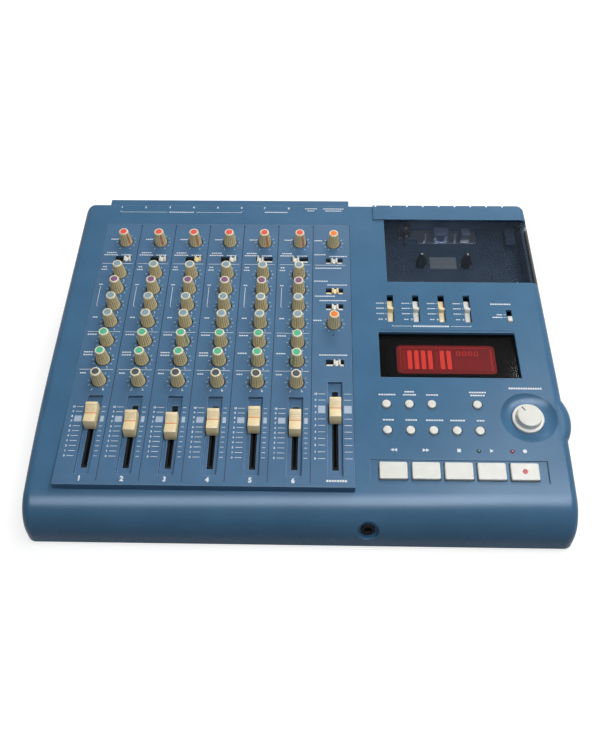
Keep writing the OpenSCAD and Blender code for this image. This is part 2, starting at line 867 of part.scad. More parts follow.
// circuit boards, the press switches on them and the two lamps
module circuit_boards() {
    color("#2F6B45") {
        on_deck() box([3, 5, -mixer_board_w - board_t], [225, 266, -mixer_board_w]);
        on_fall(key_v) {
            box([243, -13, -control_board_w - board_t], [376, 19, -control_board_w]);
            for (i = [0:4]) translate([first_key_x + i * key_pitch, 0, 0])
                box([-3, -3, -control_board_w], [3, 3, -control_board_w + 3.8]);
            for (x = led_x) translate([x, led_v - key_v, 0]) {
                rod(led_r, -control_board_w, -0.6, 32);
                translate([0, 0, -0.6]) sphere(r = led_r, $fn = 32);
            }
        }
        on_fall(button_v) {
            box([248, -17, -control_board_w - board_t], [345, 17, -control_board_w]);
            each_button() box([-3, -3, -control_board_w], [3, 3, -control_board_w + 3.5]);
        }
        translate([deck_x, deck_y, 0])
            box([250, 60, base_z + floor_t + 5], [378, 190, base_z + floor_t + 5 + board_t]);
    }
}

module cassette_well() {
    low = floor_w - well_floor_t;
    color("#3B4E60") on_deck() difference() {
        union() {
            difference() {
                box([well_x[0] - well_wall, well_v[0] - well_wall, low],
                    [well_x[1] + well_wall, well_v[1] + well_wall, -case_wall]);
                box([well_x[0], well_v[0], floor_w], [well_x[1], well_v[1], 5]);
            }
            for (x = [270, 382], v = [212, 282]) translate([x, v, 0]) rod(3, plate_w, low + 1, 48);
            // ribbed pad between the reels, front step and side block
            box([305.5, 237, floor_w - 1], [330.5, 251, floor_w + 0.6]);
            for (k = [0:8]) box([305.5, 237.3 + k * 1.65, floor_w - 1],
                                [330.5, 238.1 + k * 1.65, floor_w + 1.1]);
            box([284, well_v[0] - 1, floor_w - 1], [372, well_v[0] + 5.5, floor_w + 2]);
            box([379, 262, floor_w - 1], [388, 283, floor_w + 8]);
        }
        // room under the rounded side of the case and of the door
        box([well_x[1] - 1.5, well_v[0] - 5, -4.8], [well_x[1] + 4, well_v[1] + 5, 1]);
        box([well_x[1] + 1.2, well_v[1] + 1.2, -26], [well_x[1] + 4, well_v[1] + 4, 1]);
        // room for the rear edge of the door as it swings round its hinge
        translate([well_x[1], hinge_v, hinge_w]) intersection() {
            rotate([0, 90, 0]) difference() {
                rod(hinge_sweep, -1, well_wall + 1);
                rod(hinge_knuckle_r + 0.2, -2, 0.9);
            }
            box([-2, 0, -3.4], [well_wall + 2, 9, 9]);
        }
        for (x = spindle_x) translate([x, hub_v, 0]) rod(6.2, low - 1, floor_w + 5);
        translate([capstan_x, capstan_v, 0]) rod(capstan_r + 1.2, low - 1, floor_w + 5, 48);
        translate([well_x[0] - well_wall - 1, hinge_v, hinge_w]) rotate([0, 90, 0])
            rod(trunnion_r + run_fit, 0, 200, 48);
    }
}

// motor posts stand round the motor clear of the belt
belt_side = atan2(capstan_v - motor_v, capstan_x - motor_x);

module transport_plate() {
    low = plate_w - plate_t;
    color(steel) on_deck() difference() {
        union() {
            box([266, 208, low], [388, 285, plate_w]);
            for (x = spindle_x) translate([x, hub_v, 0]) rod(5.5, low - 3, low + 1);
            translate([capstan_x, capstan_v, 0]) rod(4, low - 9, low + 1, 48);
            for (turn = [100, 180, 260]) translate([motor_x, motor_v, 0])
                rotate([0, 0, belt_side + turn]) translate([9.5, 0, 0])
                    rod(2.5, flywheel_w - flywheel_t - 1, low + 1, 48);
        }
        for (x = spindle_x) translate([x, hub_v, 0]) rod(3 + run_fit, low - 10, plate_w + 1, 48);
        translate([capstan_x, capstan_v, 0])
            rod(capstan_r + run_fit, low - 20, plate_w + 1, 48);
    }
}

module reel_spindle(i) {
    low = plate_w - plate_t - 3.3;
    color(dark) on_deck() translate([spindle_x[i], hub_v, 0]) {
        rod(reel_disc_r, low - 4, low);
        rod(3, low - 4, floor_w, 48);
        rod(spindle_r, plate_w + 0.2, floor_w + 4);
        translate([0, 0, floor_w + 4])
            cylinder(r1 = spindle_r + 0.8, r2 = 1.7, h = 9.5, $fn = facets);
        for (turn = [0, 120, 240]) rotate([0, 0, turn])
            box([-0.6, 0, floor_w + 2], [0.6, spindle_r + 0.8, floor_w + 6]);
    }
}

module capstan_flywheel() {
    color(steel) on_deck() translate([capstan_x, capstan_v, 0]) {
        rod(flywheel_r, flywheel_w - flywheel_t, flywheel_w, fine);
        rod(capstan_r, flywheel_w - flywheel_t - 2, floor_w + 12, 48);
    }
}

// outline round the motor pulley and the flywheel at distance t
module belt_outline(t) {
    a = pulley_r + t;
    b = flywheel_r + belt_gap + t;
    d = norm([capstan_x - motor_x, capstan_v - motor_v]);
    lean = asin((b - a) / d);
    p = a - 0.05;
    q = b - 0.05;
    circle(r = a, $fn = facets);
    translate([d, 0]) circle(r = b, $fn = fine);
    polygon([[-p * sin(lean), p * cos(lean)], [d - q * sin(lean), q * cos(lean)],
             [d - q * sin(lean), -q * cos(lean)], [-p * sin(lean), -p * cos(lean)]]);
}

module capstan_motor() {
    top = flywheel_w - flywheel_t - 1;
    color(steel) on_deck() translate([motor_x, motor_v, 0]) {
        rod(motor_r, top - 19, top);
        rod(1, top, flywheel_w + 1, 32);
        rod(pulley_r - 0.02, flywheel_w - flywheel_t + 0.5, flywheel_w);
        color(dark) rotate([0, 0, belt_side])
            translate([0, 0, flywheel_w - flywheel_t + 1.5])
                linear_extrude(height = flywheel_t - 3) difference() {
                    belt_outline(belt_t);
                    belt_outline(0);
                }
    }
}

// sliding bridge with the record head, the erase head, the guides and the roller pin
module head_bridge() {
    top = bridge_w + bridge_t;
    color(steel) on_deck() {
        box([296, 269, bridge_w], [352, 286, top]);
        difference() {
            box([277.5, 275.5, bridge_w], [296, 286, top]);
            translate([capstan_x, capstan_v - bridge_travel, 0]) rod(4, bridge_w - 1, top + 1, 48);
        }
        translate([318, 277, 0]) {
            box([-6.5, -2, top], [6.5, 4, tape_w + 4.4]);
            intersection() {
                translate([0, 2, 0]) rod(9, top, tape_w + 4.4);
                box([-6.5, -9, top], [6.5, -2, tape_w + 5]);
            }
        }
        box([337, 271, top], [345, 280, tape_w + 4.4]);
        for (x = [302, 331]) translate([x, 271.5, 0]) rod(1.2, top, tape_w + 5.5, 32);
        translate([capstan_x, roller_v, 0]) rod(1.5, top, tape_w + 5, 48);
    }
}

module pinch_roller() {
    color(dark) on_deck() translate([capstan_x, roller_v, 0]) difference() {
        rod(roller_r, bridge_w + bridge_t + 0.3, tape_w + 4.5);
        rod(1.5 + run_fit, bridge_w, tape_w + 6, 48);
    }
}

module cassette_door() {
    side = right_x - edge_r;
    color("#2A3646", 0.6) on_deck() {
        difference() {
            intersection() {
                flat_part(0, door_v[0] + door_gap, door_v[1]);
                box([door_x + door_gap, 0, -door_skirt], [right_x + 1, 400, 1]);
            }
            flat_part(door_t, door_v[0] - 10, door_v[1] + 10);
            box([side, door_v[1] - 5 - door_gap, -door_skirt - 1],
                [right_x + 1, door_v[1] + 1, door_gap - 5]);
        }
        door_ear(well_x[0] + 0.3, 1);
        door_ear(well_x[1] - 0.3, -1);
    }
}

// hinge ear with its trunnion, growing from the wall side at x towards dir
module door_ear(x, dir) {
    ear_t = 3.2;
    translate([x + (dir > 0 ? 0 : -ear_t), hinge_v, hinge_w]) {
        rotate([0, 90, 0]) rod(hinge_knuckle_r, 0, ear_t);
        box([0, -hinge_knuckle_r, 0], [ear_t, hinge_knuckle_r, -hinge_w - door_t]);
    }
    translate([x, hinge_v, hinge_w]) rotate([0, -90 * dir, 0]) rod(trunnion_r, -1, 2.2, 48);
}

// cap of a record switch: a flat strip under the deck with a ridge through the slot
module record_switch(i) {
    under_w = -case_wall - 0.3;
    color(i % 2 == 0 ? "#F3DFB0" : key_white) on_deck()
        translate([first_switch_x + i * switch_pitch, switch_ridge_v, 0]) {
            half = (switch_slot_w - slide_gap) / 2;
            box([-half, -11.3, under_w - 1.4], [half, 12, under_w]);
            translate([-half, 0, 0]) rotate([90, 0, 90]) linear_extrude(height = 2 * half)
                polygon([[-2.4, under_w], [2.4, under_w], [1.1, 1], [-1.1, 1]]);
        }
}

module tape_speed_switch() {
    under_w = -case_wall - 0.3;
    half = (speed_slot[0] - slide_gap) / 2;
    color(key_white) on_deck() translate([speed_x, speed_v, 0]) {
        box([-half, -6.5, under_w - 1.4], [half, 5.5, under_w]);
        translate([-half, 0, 0]) rotate([90, 0, 90]) linear_extrude(height = 2 * half)
            polygon([[-3.6, under_w], [3.6, under_w], [2.6, 1], [-2.6, 1]]);
    }
}

bottom_case();
top_case();
mixer_panel();
rear_jack_panel();
display_window();
display_module();
cassette_well();
transport_plate();
circuit_boards();
potentiometers();
fader_units();
jack_sockets();
feet();
case_screws();
capstan_motor();
channel_knobs_2_to_6();
slide_switches();
cassette_door();
head_bridge();
pinch_roller();
reel_spindle(1);  // supply_spindle
reel_spindle(0);  // takeup_spindle
capstan_flywheel();
for (i = [0:channels - 1])
    fader_cap(channel_x(i) + recess_x, fader_at[i]);
fader_cap(master_recess_x, master_at);  // master_fader_cap
for (i = [0:4])
    transport_key(i, i == 4);
pitch_knob();
knob(level_x, level_rows[0], "#FF8A33");  // level_knob_upper
knob(level_x, level_rows[1], "#FF8A33");  // level_knob_lower
for (row = [0:7])
    channel_1_knob(row);
for (i = [0:3])
    record_switch(i);
tape_speed_switch();
for (i = [0:3])
    round_button(upper_buttons[i], 1);
for (i = [0:4])
    round_button(lower_buttons[i], -1);
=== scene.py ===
import math
import bpy
import numpy as np
from mathutils import Matrix, Vector


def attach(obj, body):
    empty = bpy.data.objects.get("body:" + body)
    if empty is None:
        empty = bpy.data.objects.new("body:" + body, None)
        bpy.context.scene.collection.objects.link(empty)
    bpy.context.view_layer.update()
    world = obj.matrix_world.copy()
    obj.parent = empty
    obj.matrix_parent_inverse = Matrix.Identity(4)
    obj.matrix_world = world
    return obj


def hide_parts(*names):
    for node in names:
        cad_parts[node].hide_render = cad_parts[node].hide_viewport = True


# Four track cassette recorder. The CAD gives the case, the deck and the mechanism;
# this file gives them their finishes and adds knobs, caps, keys, prints and the display.
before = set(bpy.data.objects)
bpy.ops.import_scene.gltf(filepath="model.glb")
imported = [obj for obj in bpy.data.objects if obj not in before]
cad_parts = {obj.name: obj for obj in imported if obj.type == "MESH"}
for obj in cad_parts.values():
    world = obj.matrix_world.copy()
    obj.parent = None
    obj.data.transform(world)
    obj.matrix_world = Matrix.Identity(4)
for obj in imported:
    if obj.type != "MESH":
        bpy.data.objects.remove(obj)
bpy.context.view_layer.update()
scene = bpy.context.scene
scene.view_settings.view_transform = "Standard"
print("frame loaded:", len(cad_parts), "nodes")

# deck coordinates: x to the right, v up the slope, w out of the deck, in mm
deck = {"x": -188.5, "y": -140.104, "z": 49.4908, "tilt": 8.0, "fallR": 867.0, "fallV": 110.0}
tiltCos = math.cos(math.radians(deck["tilt"]))
tiltSin = math.sin(math.radians(deck["tilt"]))


def toBody(p):
    # deck millimetres to the frame's metres: turn by the tilt, then shift
    p = np.asarray(p, float)
    x, v, w = p[..., 0], p[..., 1], p[..., 2]
    return np.stack([x + deck["x"], v * tiltCos - w * tiltSin + deck["y"],
                     v * tiltSin + w * tiltCos + deck["z"]], -1) / 1000


def fallAt(v):
    # how far the curved front of the deck lies under the flat part, and its lean
    ahead = np.clip(deck["fallV"] - np.asarray(v, float), 0, None)
    return np.sqrt(deck["fallR"] ** 2 - ahead ** 2) - deck["fallR"], np.arcsin(ahead / deck["fallR"])


def seat(p, x, v, turn=0.0, curved=False):
    # local millimetres to deck: turn about w, lean with the curved deck, then shift
    p = np.asarray(p, float)
    c, s = math.cos(math.radians(turn)), math.sin(math.radians(turn))
    a, b, w = p[..., 0] * c - p[..., 1] * s, p[..., 0] * s + p[..., 1] * c, p[..., 2]
    drop, lean = fallAt(v) if curved else (0.0, 0.0)
    return np.stack([a + x, b * np.cos(lean) - w * np.sin(lean) + v,
                     b * np.sin(lean) + w * np.cos(lean) + drop], -1)


def colour(text):
    # sRGB hex to linear
    v = np.array([int(text[k:k + 2], 16) / 255 for k in (1, 3, 5)])
    v = np.where(v <= 0.04045, v / 12.92, ((v + 0.055) / 1.055) ** 2.4)
    return (float(v[0]), float(v[1]), float(v[2]), 1.0)


def metres(mm):
    return mm / 1000


def perMetre(mm):
    # pattern scale on Object coordinates from a real size
    return 1000.0 / mm


def addNode(owner, kind, settings=None, links=None):
    # settings are node properties or socket values by name or number, links are sockets
    node = owner.node_tree.nodes.new(kind)
    for key, value in (settings or {}).items():
        if isinstance(key, str) and hasattr(node, key):
            setattr(node, key, value)
        else:
            node.inputs[key].default_value = value
    for key, source in (links or {}).items():
        owner.node_tree.links.new(source, node.inputs[key])
    return node


def startMaterial(name):
    mat = bpy.data.materials.new(name)
    mat.use_nodes = True
    mat.node_tree.nodes.clear()
    return mat


def endMaterial(mat, shader):
    addNode(mat, "ShaderNodeOutputMaterial", {}, {"Surface": shader})
    return mat


def mouldedPlastic(name, s):
    # injection moulded ABS: fine spark-eroded grain, faint cloudiness, and a painted highlight that lightens
    # the edges;
    # the grain is drawn coarser than the real one, which is too fine to show
    mat = startMaterial(name)
    where = addNode(mat, "ShaderNodeTexCoord").outputs["Object"]
    cloud = addNode(mat, "ShaderNodeTexNoise", {"Scale": perMetre(s["cloud"]), "Detail": 3.0},
                    {"Vector": where})
    grain = addNode(mat, "ShaderNodeTexNoise", {"Scale": perMetre(s["grain"]), "Detail": 2.0},
                    {"Vector": where})
    soft = addNode(mat, "ShaderNodeBevel", {"samples": 6, "Radius": metres(s["edge"])})
    flat = addNode(mat, "ShaderNodeNewGeometry")
    meet = addNode(mat, "ShaderNodeVectorMath", {"operation": "DOT_PRODUCT"},
                   {0: soft.outputs[0], 1: flat.outputs["True Normal"]})
    # painted highlight: near an edge, where the rounded normal parts from the flat one, the colour is mixed
    # toward a lighter one
    rub = addNode(mat, "ShaderNodeMapRange", {"From Min": 0.985, "From Max": 0.8, "To Min": 0.0,
                                              "To Max": s["rub"]}, {"Value": meet.outputs["Value"]})
    tone = addNode(mat, "ShaderNodeMapRange", {"From Min": 0.35, "From Max": 0.65},
                   {"Value": cloud.outputs["Fac"]})
    body = addNode(mat, "ShaderNodeMix", {"data_type": "RGBA", 6: colour(s["dark"]),
                                          7: colour(s["base"])}, {0: tone.outputs[0]})
    paintedLight = addNode(mat, "ShaderNodeMix", {"data_type": "RGBA", 7: colour(s["paintedLight"])},
                   {0: rub.outputs[0], 6: body.outputs[2]})
    shine = addNode(mat, "ShaderNodeMapRange", {"From Min": 0.3, "From Max": 0.7,
                                                "To Min": s["rough"] - 0.04,
                                                "To Max": s["rough"] + 0.05},
                    {"Value": grain.outputs["Fac"]})
    bump = addNode(mat, "ShaderNodeBump", {"Strength": s["bump"], "Distance": metres(0.12)},
                   {"Height": grain.outputs["Fac"], "Normal": soft.outputs[0]})
    skin = addNode(mat, "ShaderNodeBsdfPrincipled", {"IOR": 1.5, "Specular IOR Level": s.get("spec", 0.5)},
                   {"Base Color": paintedLight.outputs[2], "Roughness": shine.outputs[0],
                    "Normal": bump.outputs[0]})
    return endMaterial(mat, skin.outputs[0])


def metalFinish(name, s):
    # plated or turned metal: broad tone shifts and fine scratches along one axis
    mat = startMaterial(name)
    where = addNode(mat, "ShaderNodeTexCoord").outputs["Object"]
    long = addNode(mat, "ShaderNodeMapping", {"Scale": s["stretch"]}, {"Vector": where})
    lines = addNode(mat, "ShaderNodeTexNoise", {"Scale": perMetre(s["grain"]), "Detail": 2.0},
                    {"Vector": long.outputs[0]})
    shine = addNode(mat, "ShaderNodeMapRange", {"To Min": s["rough"] - 0.06, "To Max": s["rough"] + 0.08},
                    {"Value": lines.outputs["Fac"]})
    tint = addNode(mat, "ShaderNodeMix", {"data_type": "RGBA", 6: colour(s["dark"]), 7: colour(s["base"])},
                   {0: lines.outputs["Fac"]})
    soft = addNode(mat, "ShaderNodeBevel", {"samples": 4, "Radius": metres(0.2)})
    bump = addNode(mat, "ShaderNodeBump", {"Strength": 0.12, "Distance": metres(0.05)},
                   {"Height": lines.outputs["Fac"], "Normal": soft.outputs[0]})
    skin = addNode(mat, "ShaderNodeBsdfPrincipled", {"Metallic": 1.0},
                   {"Base Color": tint.outputs[2], "Roughness": shine.outputs[0], "Normal": bump.outputs[0]})
    return endMaterial(mat, skin.outputs[0])


def knobPlastic(name, s):
    # satin knob plastic whose flutes get a painted shade, told by the "groove" attribute
    mat = startMaterial(name)
    where = addNode(mat, "ShaderNodeTexCoord").outputs["Object"]
    cloud = addNode(mat, "ShaderNodeTexNoise", {"Scale": perMetre(9), "Detail": 3.0}, {"Vector": where})
    grain = addNode(mat, "ShaderNodeTexNoise", {"Scale": perMetre(0.35), "Detail": 1.0}, {"Vector": where})
    groove = addNode(mat, "ShaderNodeAttribute", {"attribute_name": "groove"})
    body = addNode(mat, "ShaderNodeMix", {"data_type": "RGBA", 6: colour(s["dark"]), 7: colour(s["base"])},
                   {0: cloud.outputs["Fac"]})
    # painted shade: the groove attribute mixes the colour toward the darker groove colour
    paintedLight = addNode(mat, "ShaderNodeMix", {"data_type": "RGBA", 7: colour(s["groove"])},
                   {0: groove.outputs["Fac"], 6: body.outputs[2]})
    bump = addNode(mat, "ShaderNodeBump", {"Strength": 0.15, "Distance": metres(0.1)},
                   {"Height": grain.outputs["Fac"]})
    skin = addNode(mat, "ShaderNodeBsdfPrincipled",
                   {"Roughness": s["rough"], "IOR": 1.5, "Specular IOR Level": 0.25},
                   {"Base Color": paintedLight.outputs[2], "Normal": bump.outputs[0]})
    return endMaterial(mat, skin.outputs[0])


def smokedSheet(name, s):
    # smoked acrylic: the tint hides part of what lies behind, smears break up the gloss
    mat = startMaterial(name)
    where = addNode(mat, "ShaderNodeTexCoord").outputs["Object"]
    haze = addNode(mat, "ShaderNodeTexNoise", {"Scale": perMetre(s["smear"]), "Detail": 4.0},
                   {"Vector": where})
    shine = addNode(mat, "ShaderNodeMapRange", {"To Min": s["rough"], "To Max": s["rough"] + 0.08},
                    {"Value": haze.outputs["Fac"]})
    soft = addNode(mat, "ShaderNodeBevel", {"samples": 4, "Radius": metres(0.6)})
    skin = addNode(mat, "ShaderNodeBsdfPrincipled",
                   {"Base Color": colour(s["base"]), "Alpha": s["alpha"], "IOR": 1.49,
                    "Specular IOR Level": s["spec"]},
                   {"Roughness": shine.outputs[0], "Normal": soft.outputs[0]})
    return endMaterial(mat, skin.outputs[0])


def litSegments(name, s):
    # fluorescent display: glow with a fine mesh of darker wires in front
    mat = startMaterial(name)
    where = addNode(mat, "ShaderNodeTexCoord").outputs["Object"]
    mesh = addNode(mat, "ShaderNodeTexChecker", {"Scale": perMetre(s["mesh"])}, {"Vector": where})
    glow = addNode(mat, "ShaderNodeMix", {"data_type": "RGBA", 6: colour(s["base"]), 7: colour(s["dark"])},
                   {0: mesh.outputs["Fac"]})
    skin = addNode(mat, "ShaderNodeBsdfPrincipled", {"Roughness": 0.4, "Emission Strength": s["glow"],
                                                     "Base Color": colour(s["dark"])},
                   {"Emission Color": glow.outputs[2]})
    return endMaterial(mat, skin.outputs[0])


# moulded plastics and rubber; cloud, grain and edge are sizes in mm
# each finish paints a highlight along its edges in its lighter edge colour, by the given amount
finishes = {
    "caseBlue": {"base": "#487396", "dark": "#446E90", "paintedLight": "#7FA3BE", "cloud": 28.0, "grain": 0.5,
                 "edge": 0.9, "rub": 0.3, "rough": 0.27, "bump": 0.14, "spec": 0.12},  # soft broad shine
    "panelBlue": {"base": "#4A7296", "dark": "#466C8F", "paintedLight": "#A6C4DA", "cloud": 22.0, "grain": 0.5,
                  "edge": 0.6, "rub": 0.6, "rough": 0.36, "bump": 0.16, "spec": 0.24},  # satin, with a stronger painted highlight on the edges
    "baseBlack": {"base": "#24272B", "dark": "#1E2124", "paintedLight": "#3A3E43", "cloud": 20.0, "grain": 0.8,
                  "edge": 0.6, "rub": 0.3, "rough": 0.6, "bump": 0.4},  # coarse spark finish
    "wellNavy": {"base": "#46688C", "dark": "#3E5E80", "paintedLight": "#5A7A9C", "cloud": 15.0, "grain": 0.6,
                 "edge": 0.5, "rub": 0.2, "rough": 0.5, "bump": 0.25, "spec": 0.3},  # matt
    "footRubber": {"base": "#1D1E20", "dark": "#17181A", "paintedLight": "#2E3033", "cloud": 6.0, "grain": 0.7,
                   "edge": 0.5, "rub": 0.3, "rough": 0.8, "bump": 0.5},  # rubber, dull
    "boardGreen": {"base": "#2F6B45", "dark": "#27593A", "paintedLight": "#3F7F58", "cloud": 12.0, "grain": 1.2,
                   "edge": 0.2, "rub": 0.1, "rough": 0.4, "bump": 0.1},  # lacquered board
    "slotBlack": {"base": "#070709", "dark": "#050506", "paintedLight": "#0E0F10", "cloud": 8.0, "grain": 0.5,
                  "edge": 0.2, "rub": 0.1, "rough": 0.75, "bump": 0.2, "spec": 0.1},  # black parts, and painted shade on the insides of openings
    "keyWhite": {"base": "#E8E7DF", "dark": "#E2E0D6", "paintedLight": "#F0EFE9", "cloud": 10.0, "grain": 0.35,
                 "edge": 0.3, "rub": 0.15, "rough": 0.4, "bump": 0.18, "spec": 0.25},  # keys, smooth satin
    "capCream": {"base": "#F2DDAE", "dark": "#EAD3A0", "paintedLight": "#F9EBC8", "cloud": 8.0, "grain": 0.35,
                 "edge": 0.3, "rub": 0.2, "rough": 0.42, "bump": 0.18},  # cream, a little yellowed
}
plastics = {name: mouldedPlastic(name, s) for name, s in finishes.items()}
# knobs, inks and small marks: satin, with painted shade where a groove is marked
knobFinishes = {
    "knobBeige": {"base": "#F4E3B4", "dark": "#EBD7A2", "groove": "#7A6440", "rough": 0.42},
    "knobRim": {"base": "#FBF2D4", "dark": "#F5EAC6", "groove": "#C9B88F", "rough": 0.38},
    "insertCoral": {"base": "#F0604F", "dark": "#E9574A", "groove": "#A03A30", "rough": 0.4},
    "insertGrey": {"base": "#8FAAB8", "dark": "#86A1AF", "groove": "#5A7280", "rough": 0.4},
    "insertPurple": {"base": "#8D5C88", "dark": "#835480", "groove": "#59385A", "rough": 0.4},
    "insertGreen": {"base": "#5CC69B", "dark": "#52BA90", "groove": "#2C7A5C", "rough": 0.4},
    "insertDark": {"base": "#4D5257", "dark": "#44494E", "groove": "#25282B", "rough": 0.45},
    "insertOrange": {"base": "#FF8B38", "dark": "#F58030", "groove": "#B05A1E", "rough": 0.4},
    "printWhite": {"base": "#E9EEF2", "dark": "#DCE4EA", "groove": "#DCE4EA", "rough": 0.6},
    "printPale": {"base": "#AFC0D4", "dark": "#A6B8CE", "groove": "#A6B8CE", "rough": 0.6},
    "grooveShade": {"base": "#1F3E5C", "dark": "#1C3955", "groove": "#1C3955", "rough": 0.7},
    "lineOrange": {"base": "#E48A52", "dark": "#DC8049", "groove": "#B46838", "rough": 0.5},
    "dotRed": {"base": "#BE1C22", "dark": "#B0181E", "groove": "#8A1218", "rough": 0.4},
    "padGrey": {"base": "#D2DEE8", "dark": "#C4D2DE", "groove": "#8093A3", "rough": 0.6},
    "markBlack": {"base": "#15171A", "dark": "#101214", "groove": "#101214", "rough": 0.5},
}
plastics.update({name: knobPlastic(name, s) for name, s in knobFinishes.items()})
# metals: grain is the spacing of the scratches in mm, drawn out along one axis
metals = {
    "platedSteel": {"base": "#C6CACE", "dark": "#A9ADB2", "grain": 0.6, "rough": 0.32, "stretch": (1, 12, 1)},
    "headGrey": {"base": "#8FA0B8", "dark": "#7487A2", "grain": 0.8, "rough": 0.42, "stretch": (1, 1, 1)},
    "nickel": {"base": "#D5D3CC", "dark": "#B9B7B0", "grain": 0.5, "rough": 0.25, "stretch": (1, 1, 8)},
    "screwBlack": {"base": "#4A4D52", "dark": "#33363A", "grain": 0.4, "rough": 0.4, "stretch": (1, 1, 1)},
    "turnedSteel": {"base": "#B9BCC0", "dark": "#96999D", "grain": 0.4, "rough": 0.28, "stretch": (1, 1, 14)},
}
plastics.update({name: metalFinish(name, s) for name, s in metals.items()})
# clear sheets: alpha is how much the tint hides, smear the size of a wiped patch in mm
smoke = {
    "smokedLid": {"base": "#1B2430", "alpha": 0.36, "rough": 0.05, "spec": 0.2, "smear": 30.0},
    "smokedEdge": {"base": "#0E1620", "alpha": 0.9, "rough": 0.12, "spec": 0.3, "smear": 30.0},
    "displayGlass": {"base": "#08080A", "alpha": 0.42, "rough": 0.05, "spec": 0.12, "smear": 40.0},
}
plastics.update({name: smokedSheet(name, s) for name, s in smoke.items()})
# lit parts: glow is the strength, mesh the spacing of the wires in mm, drawn coarse to show
glows = {
    "glowDim": {"base": "#B2201F", "dark": "#7A1415", "glow": 1.15, "mesh": 1.6},
    "glowFrame": {"base": "#E43330", "dark": "#B42322", "glow": 1.3, "mesh": 1.1},
    "glowBar": {"base": "#FF4A3C", "dark": "#F03C32", "glow": 1.75, "mesh": 1.1},
    "lampGreen": {"base": "#1F5B3C", "dark": "#16442D", "glow": 0.15, "mesh": 3.0},
    "lampRed": {"base": "#A31824", "dark": "#7C101A", "glow": 0.25, "mesh": 3.0},
}
plastics.update({name: litSegments(name, s) for name, s in glows.items()})
print("materials:", len(plastics))


def loft(rings):
    # rings is (n, m, 3): each next ring joins the last by quads, both ends close on their centre
    n, m = rings.shape[:2]
    i = np.arange(n - 1)[:, None] * m
    j = np.arange(m)[None, :]
    k = (j + 1) % m
    quads = np.stack([i + j, i + k, i + m + k, i + m + j], -1).reshape(-1, 4)
    points = np.concatenate([rings.reshape(-1, 3), rings[0].mean(0)[None], rings[-1].mean(0)[None]])
    low = np.stack([np.full(m, n * m), k[0], j[0]], -1)
    top = (n - 1) * m
    high = np.stack([np.full(m, n * m + 1), top + j[0], top + k[0]], -1)
    return points, [quads, low, high], np.repeat(np.arange(n - 1), m)


def flatLoft(rings):
    # a loft whose ends are one flat face each, for outlines that dip inwards
    points, faces = loft(rings)[:2]
    m = rings.shape[1]
    first = np.arange(m)
    last = first + len(points) - 2 - m
    return points[:-2], [faces[0], first[None, ::-1], last[None]]


def circleRings(profile, m, groove=None):
    # profile rows are (radius, height, groove depth); a ring is a circle less the groove's shape
    profile = np.asarray(profile, float)
    t = np.arange(m) * 2 * math.pi / m
    cut = np.zeros(m) if groove is None else groove(t)
    deep = profile[:, 2:3] if profile.shape[1] > 2 else 0
    r = profile[:, 0:1] - deep * cut
    return np.stack([r * np.cos(t), r * np.sin(t), np.broadcast_to(profile[:, 1:2], r.shape)], -1)


def slabRings(half, radius, profile, corner=5, sharpest=0.05):
    # profile rows are (inset, height); a ring is a rectangle with round corners, inset; sharpest
    # is the least radius a corner keeps
    a = (np.arange(corner + 1) / corner * math.pi / 2)[None, :] + (np.arange(4) * math.pi / 2)[:, None]
    sx = np.array([1, -1, -1, 1])[:, None]
    sy = np.array([1, 1, -1, -1])[:, None]
    rings = []
    for inset, height in profile:
        r = max(radius - inset, sharpest)
        x = sx * (half[0] - inset - r) + r * np.cos(a)
        y = sy * (half[1] - inset - r) + r * np.sin(a)
        rings.append(np.stack([x.ravel(), y.ravel(), np.full(x.size, height)], -1))
    return np.array(rings)


def crossRings(outline, half, round, mitre=0.3):
    # outline (v, w) is carried along x from -half to half, drawn in by round at both ends;
    # mitre stops a sharp corner from being drawn in too far
    outline = np.asarray(outline, float)
    ahead = np.roll(outline, -1, 0) - outline
    out = np.stack([ahead[:, 1], -ahead[:, 0]], -1)
    out /= np.linalg.norm(out, axis=1)[:, None]
    out = out + np.roll(out, 1, 0)
    out /= np.maximum(np.linalg.norm(out, axis=1)[:, None], mitre)
    rows = []
    for x, inset in ((-half, round), (-half + 0.3 * round, 0.3 * round), (-half + round, 0),
                     (half - round, 0), (half - 0.3 * round, 0.3 * round), (half, round)):
        p = outline - out * inset
        rows.append(np.stack([np.full(len(p), x), p[:, 0], p[:, 1]], -1))
    return np.array(rows)


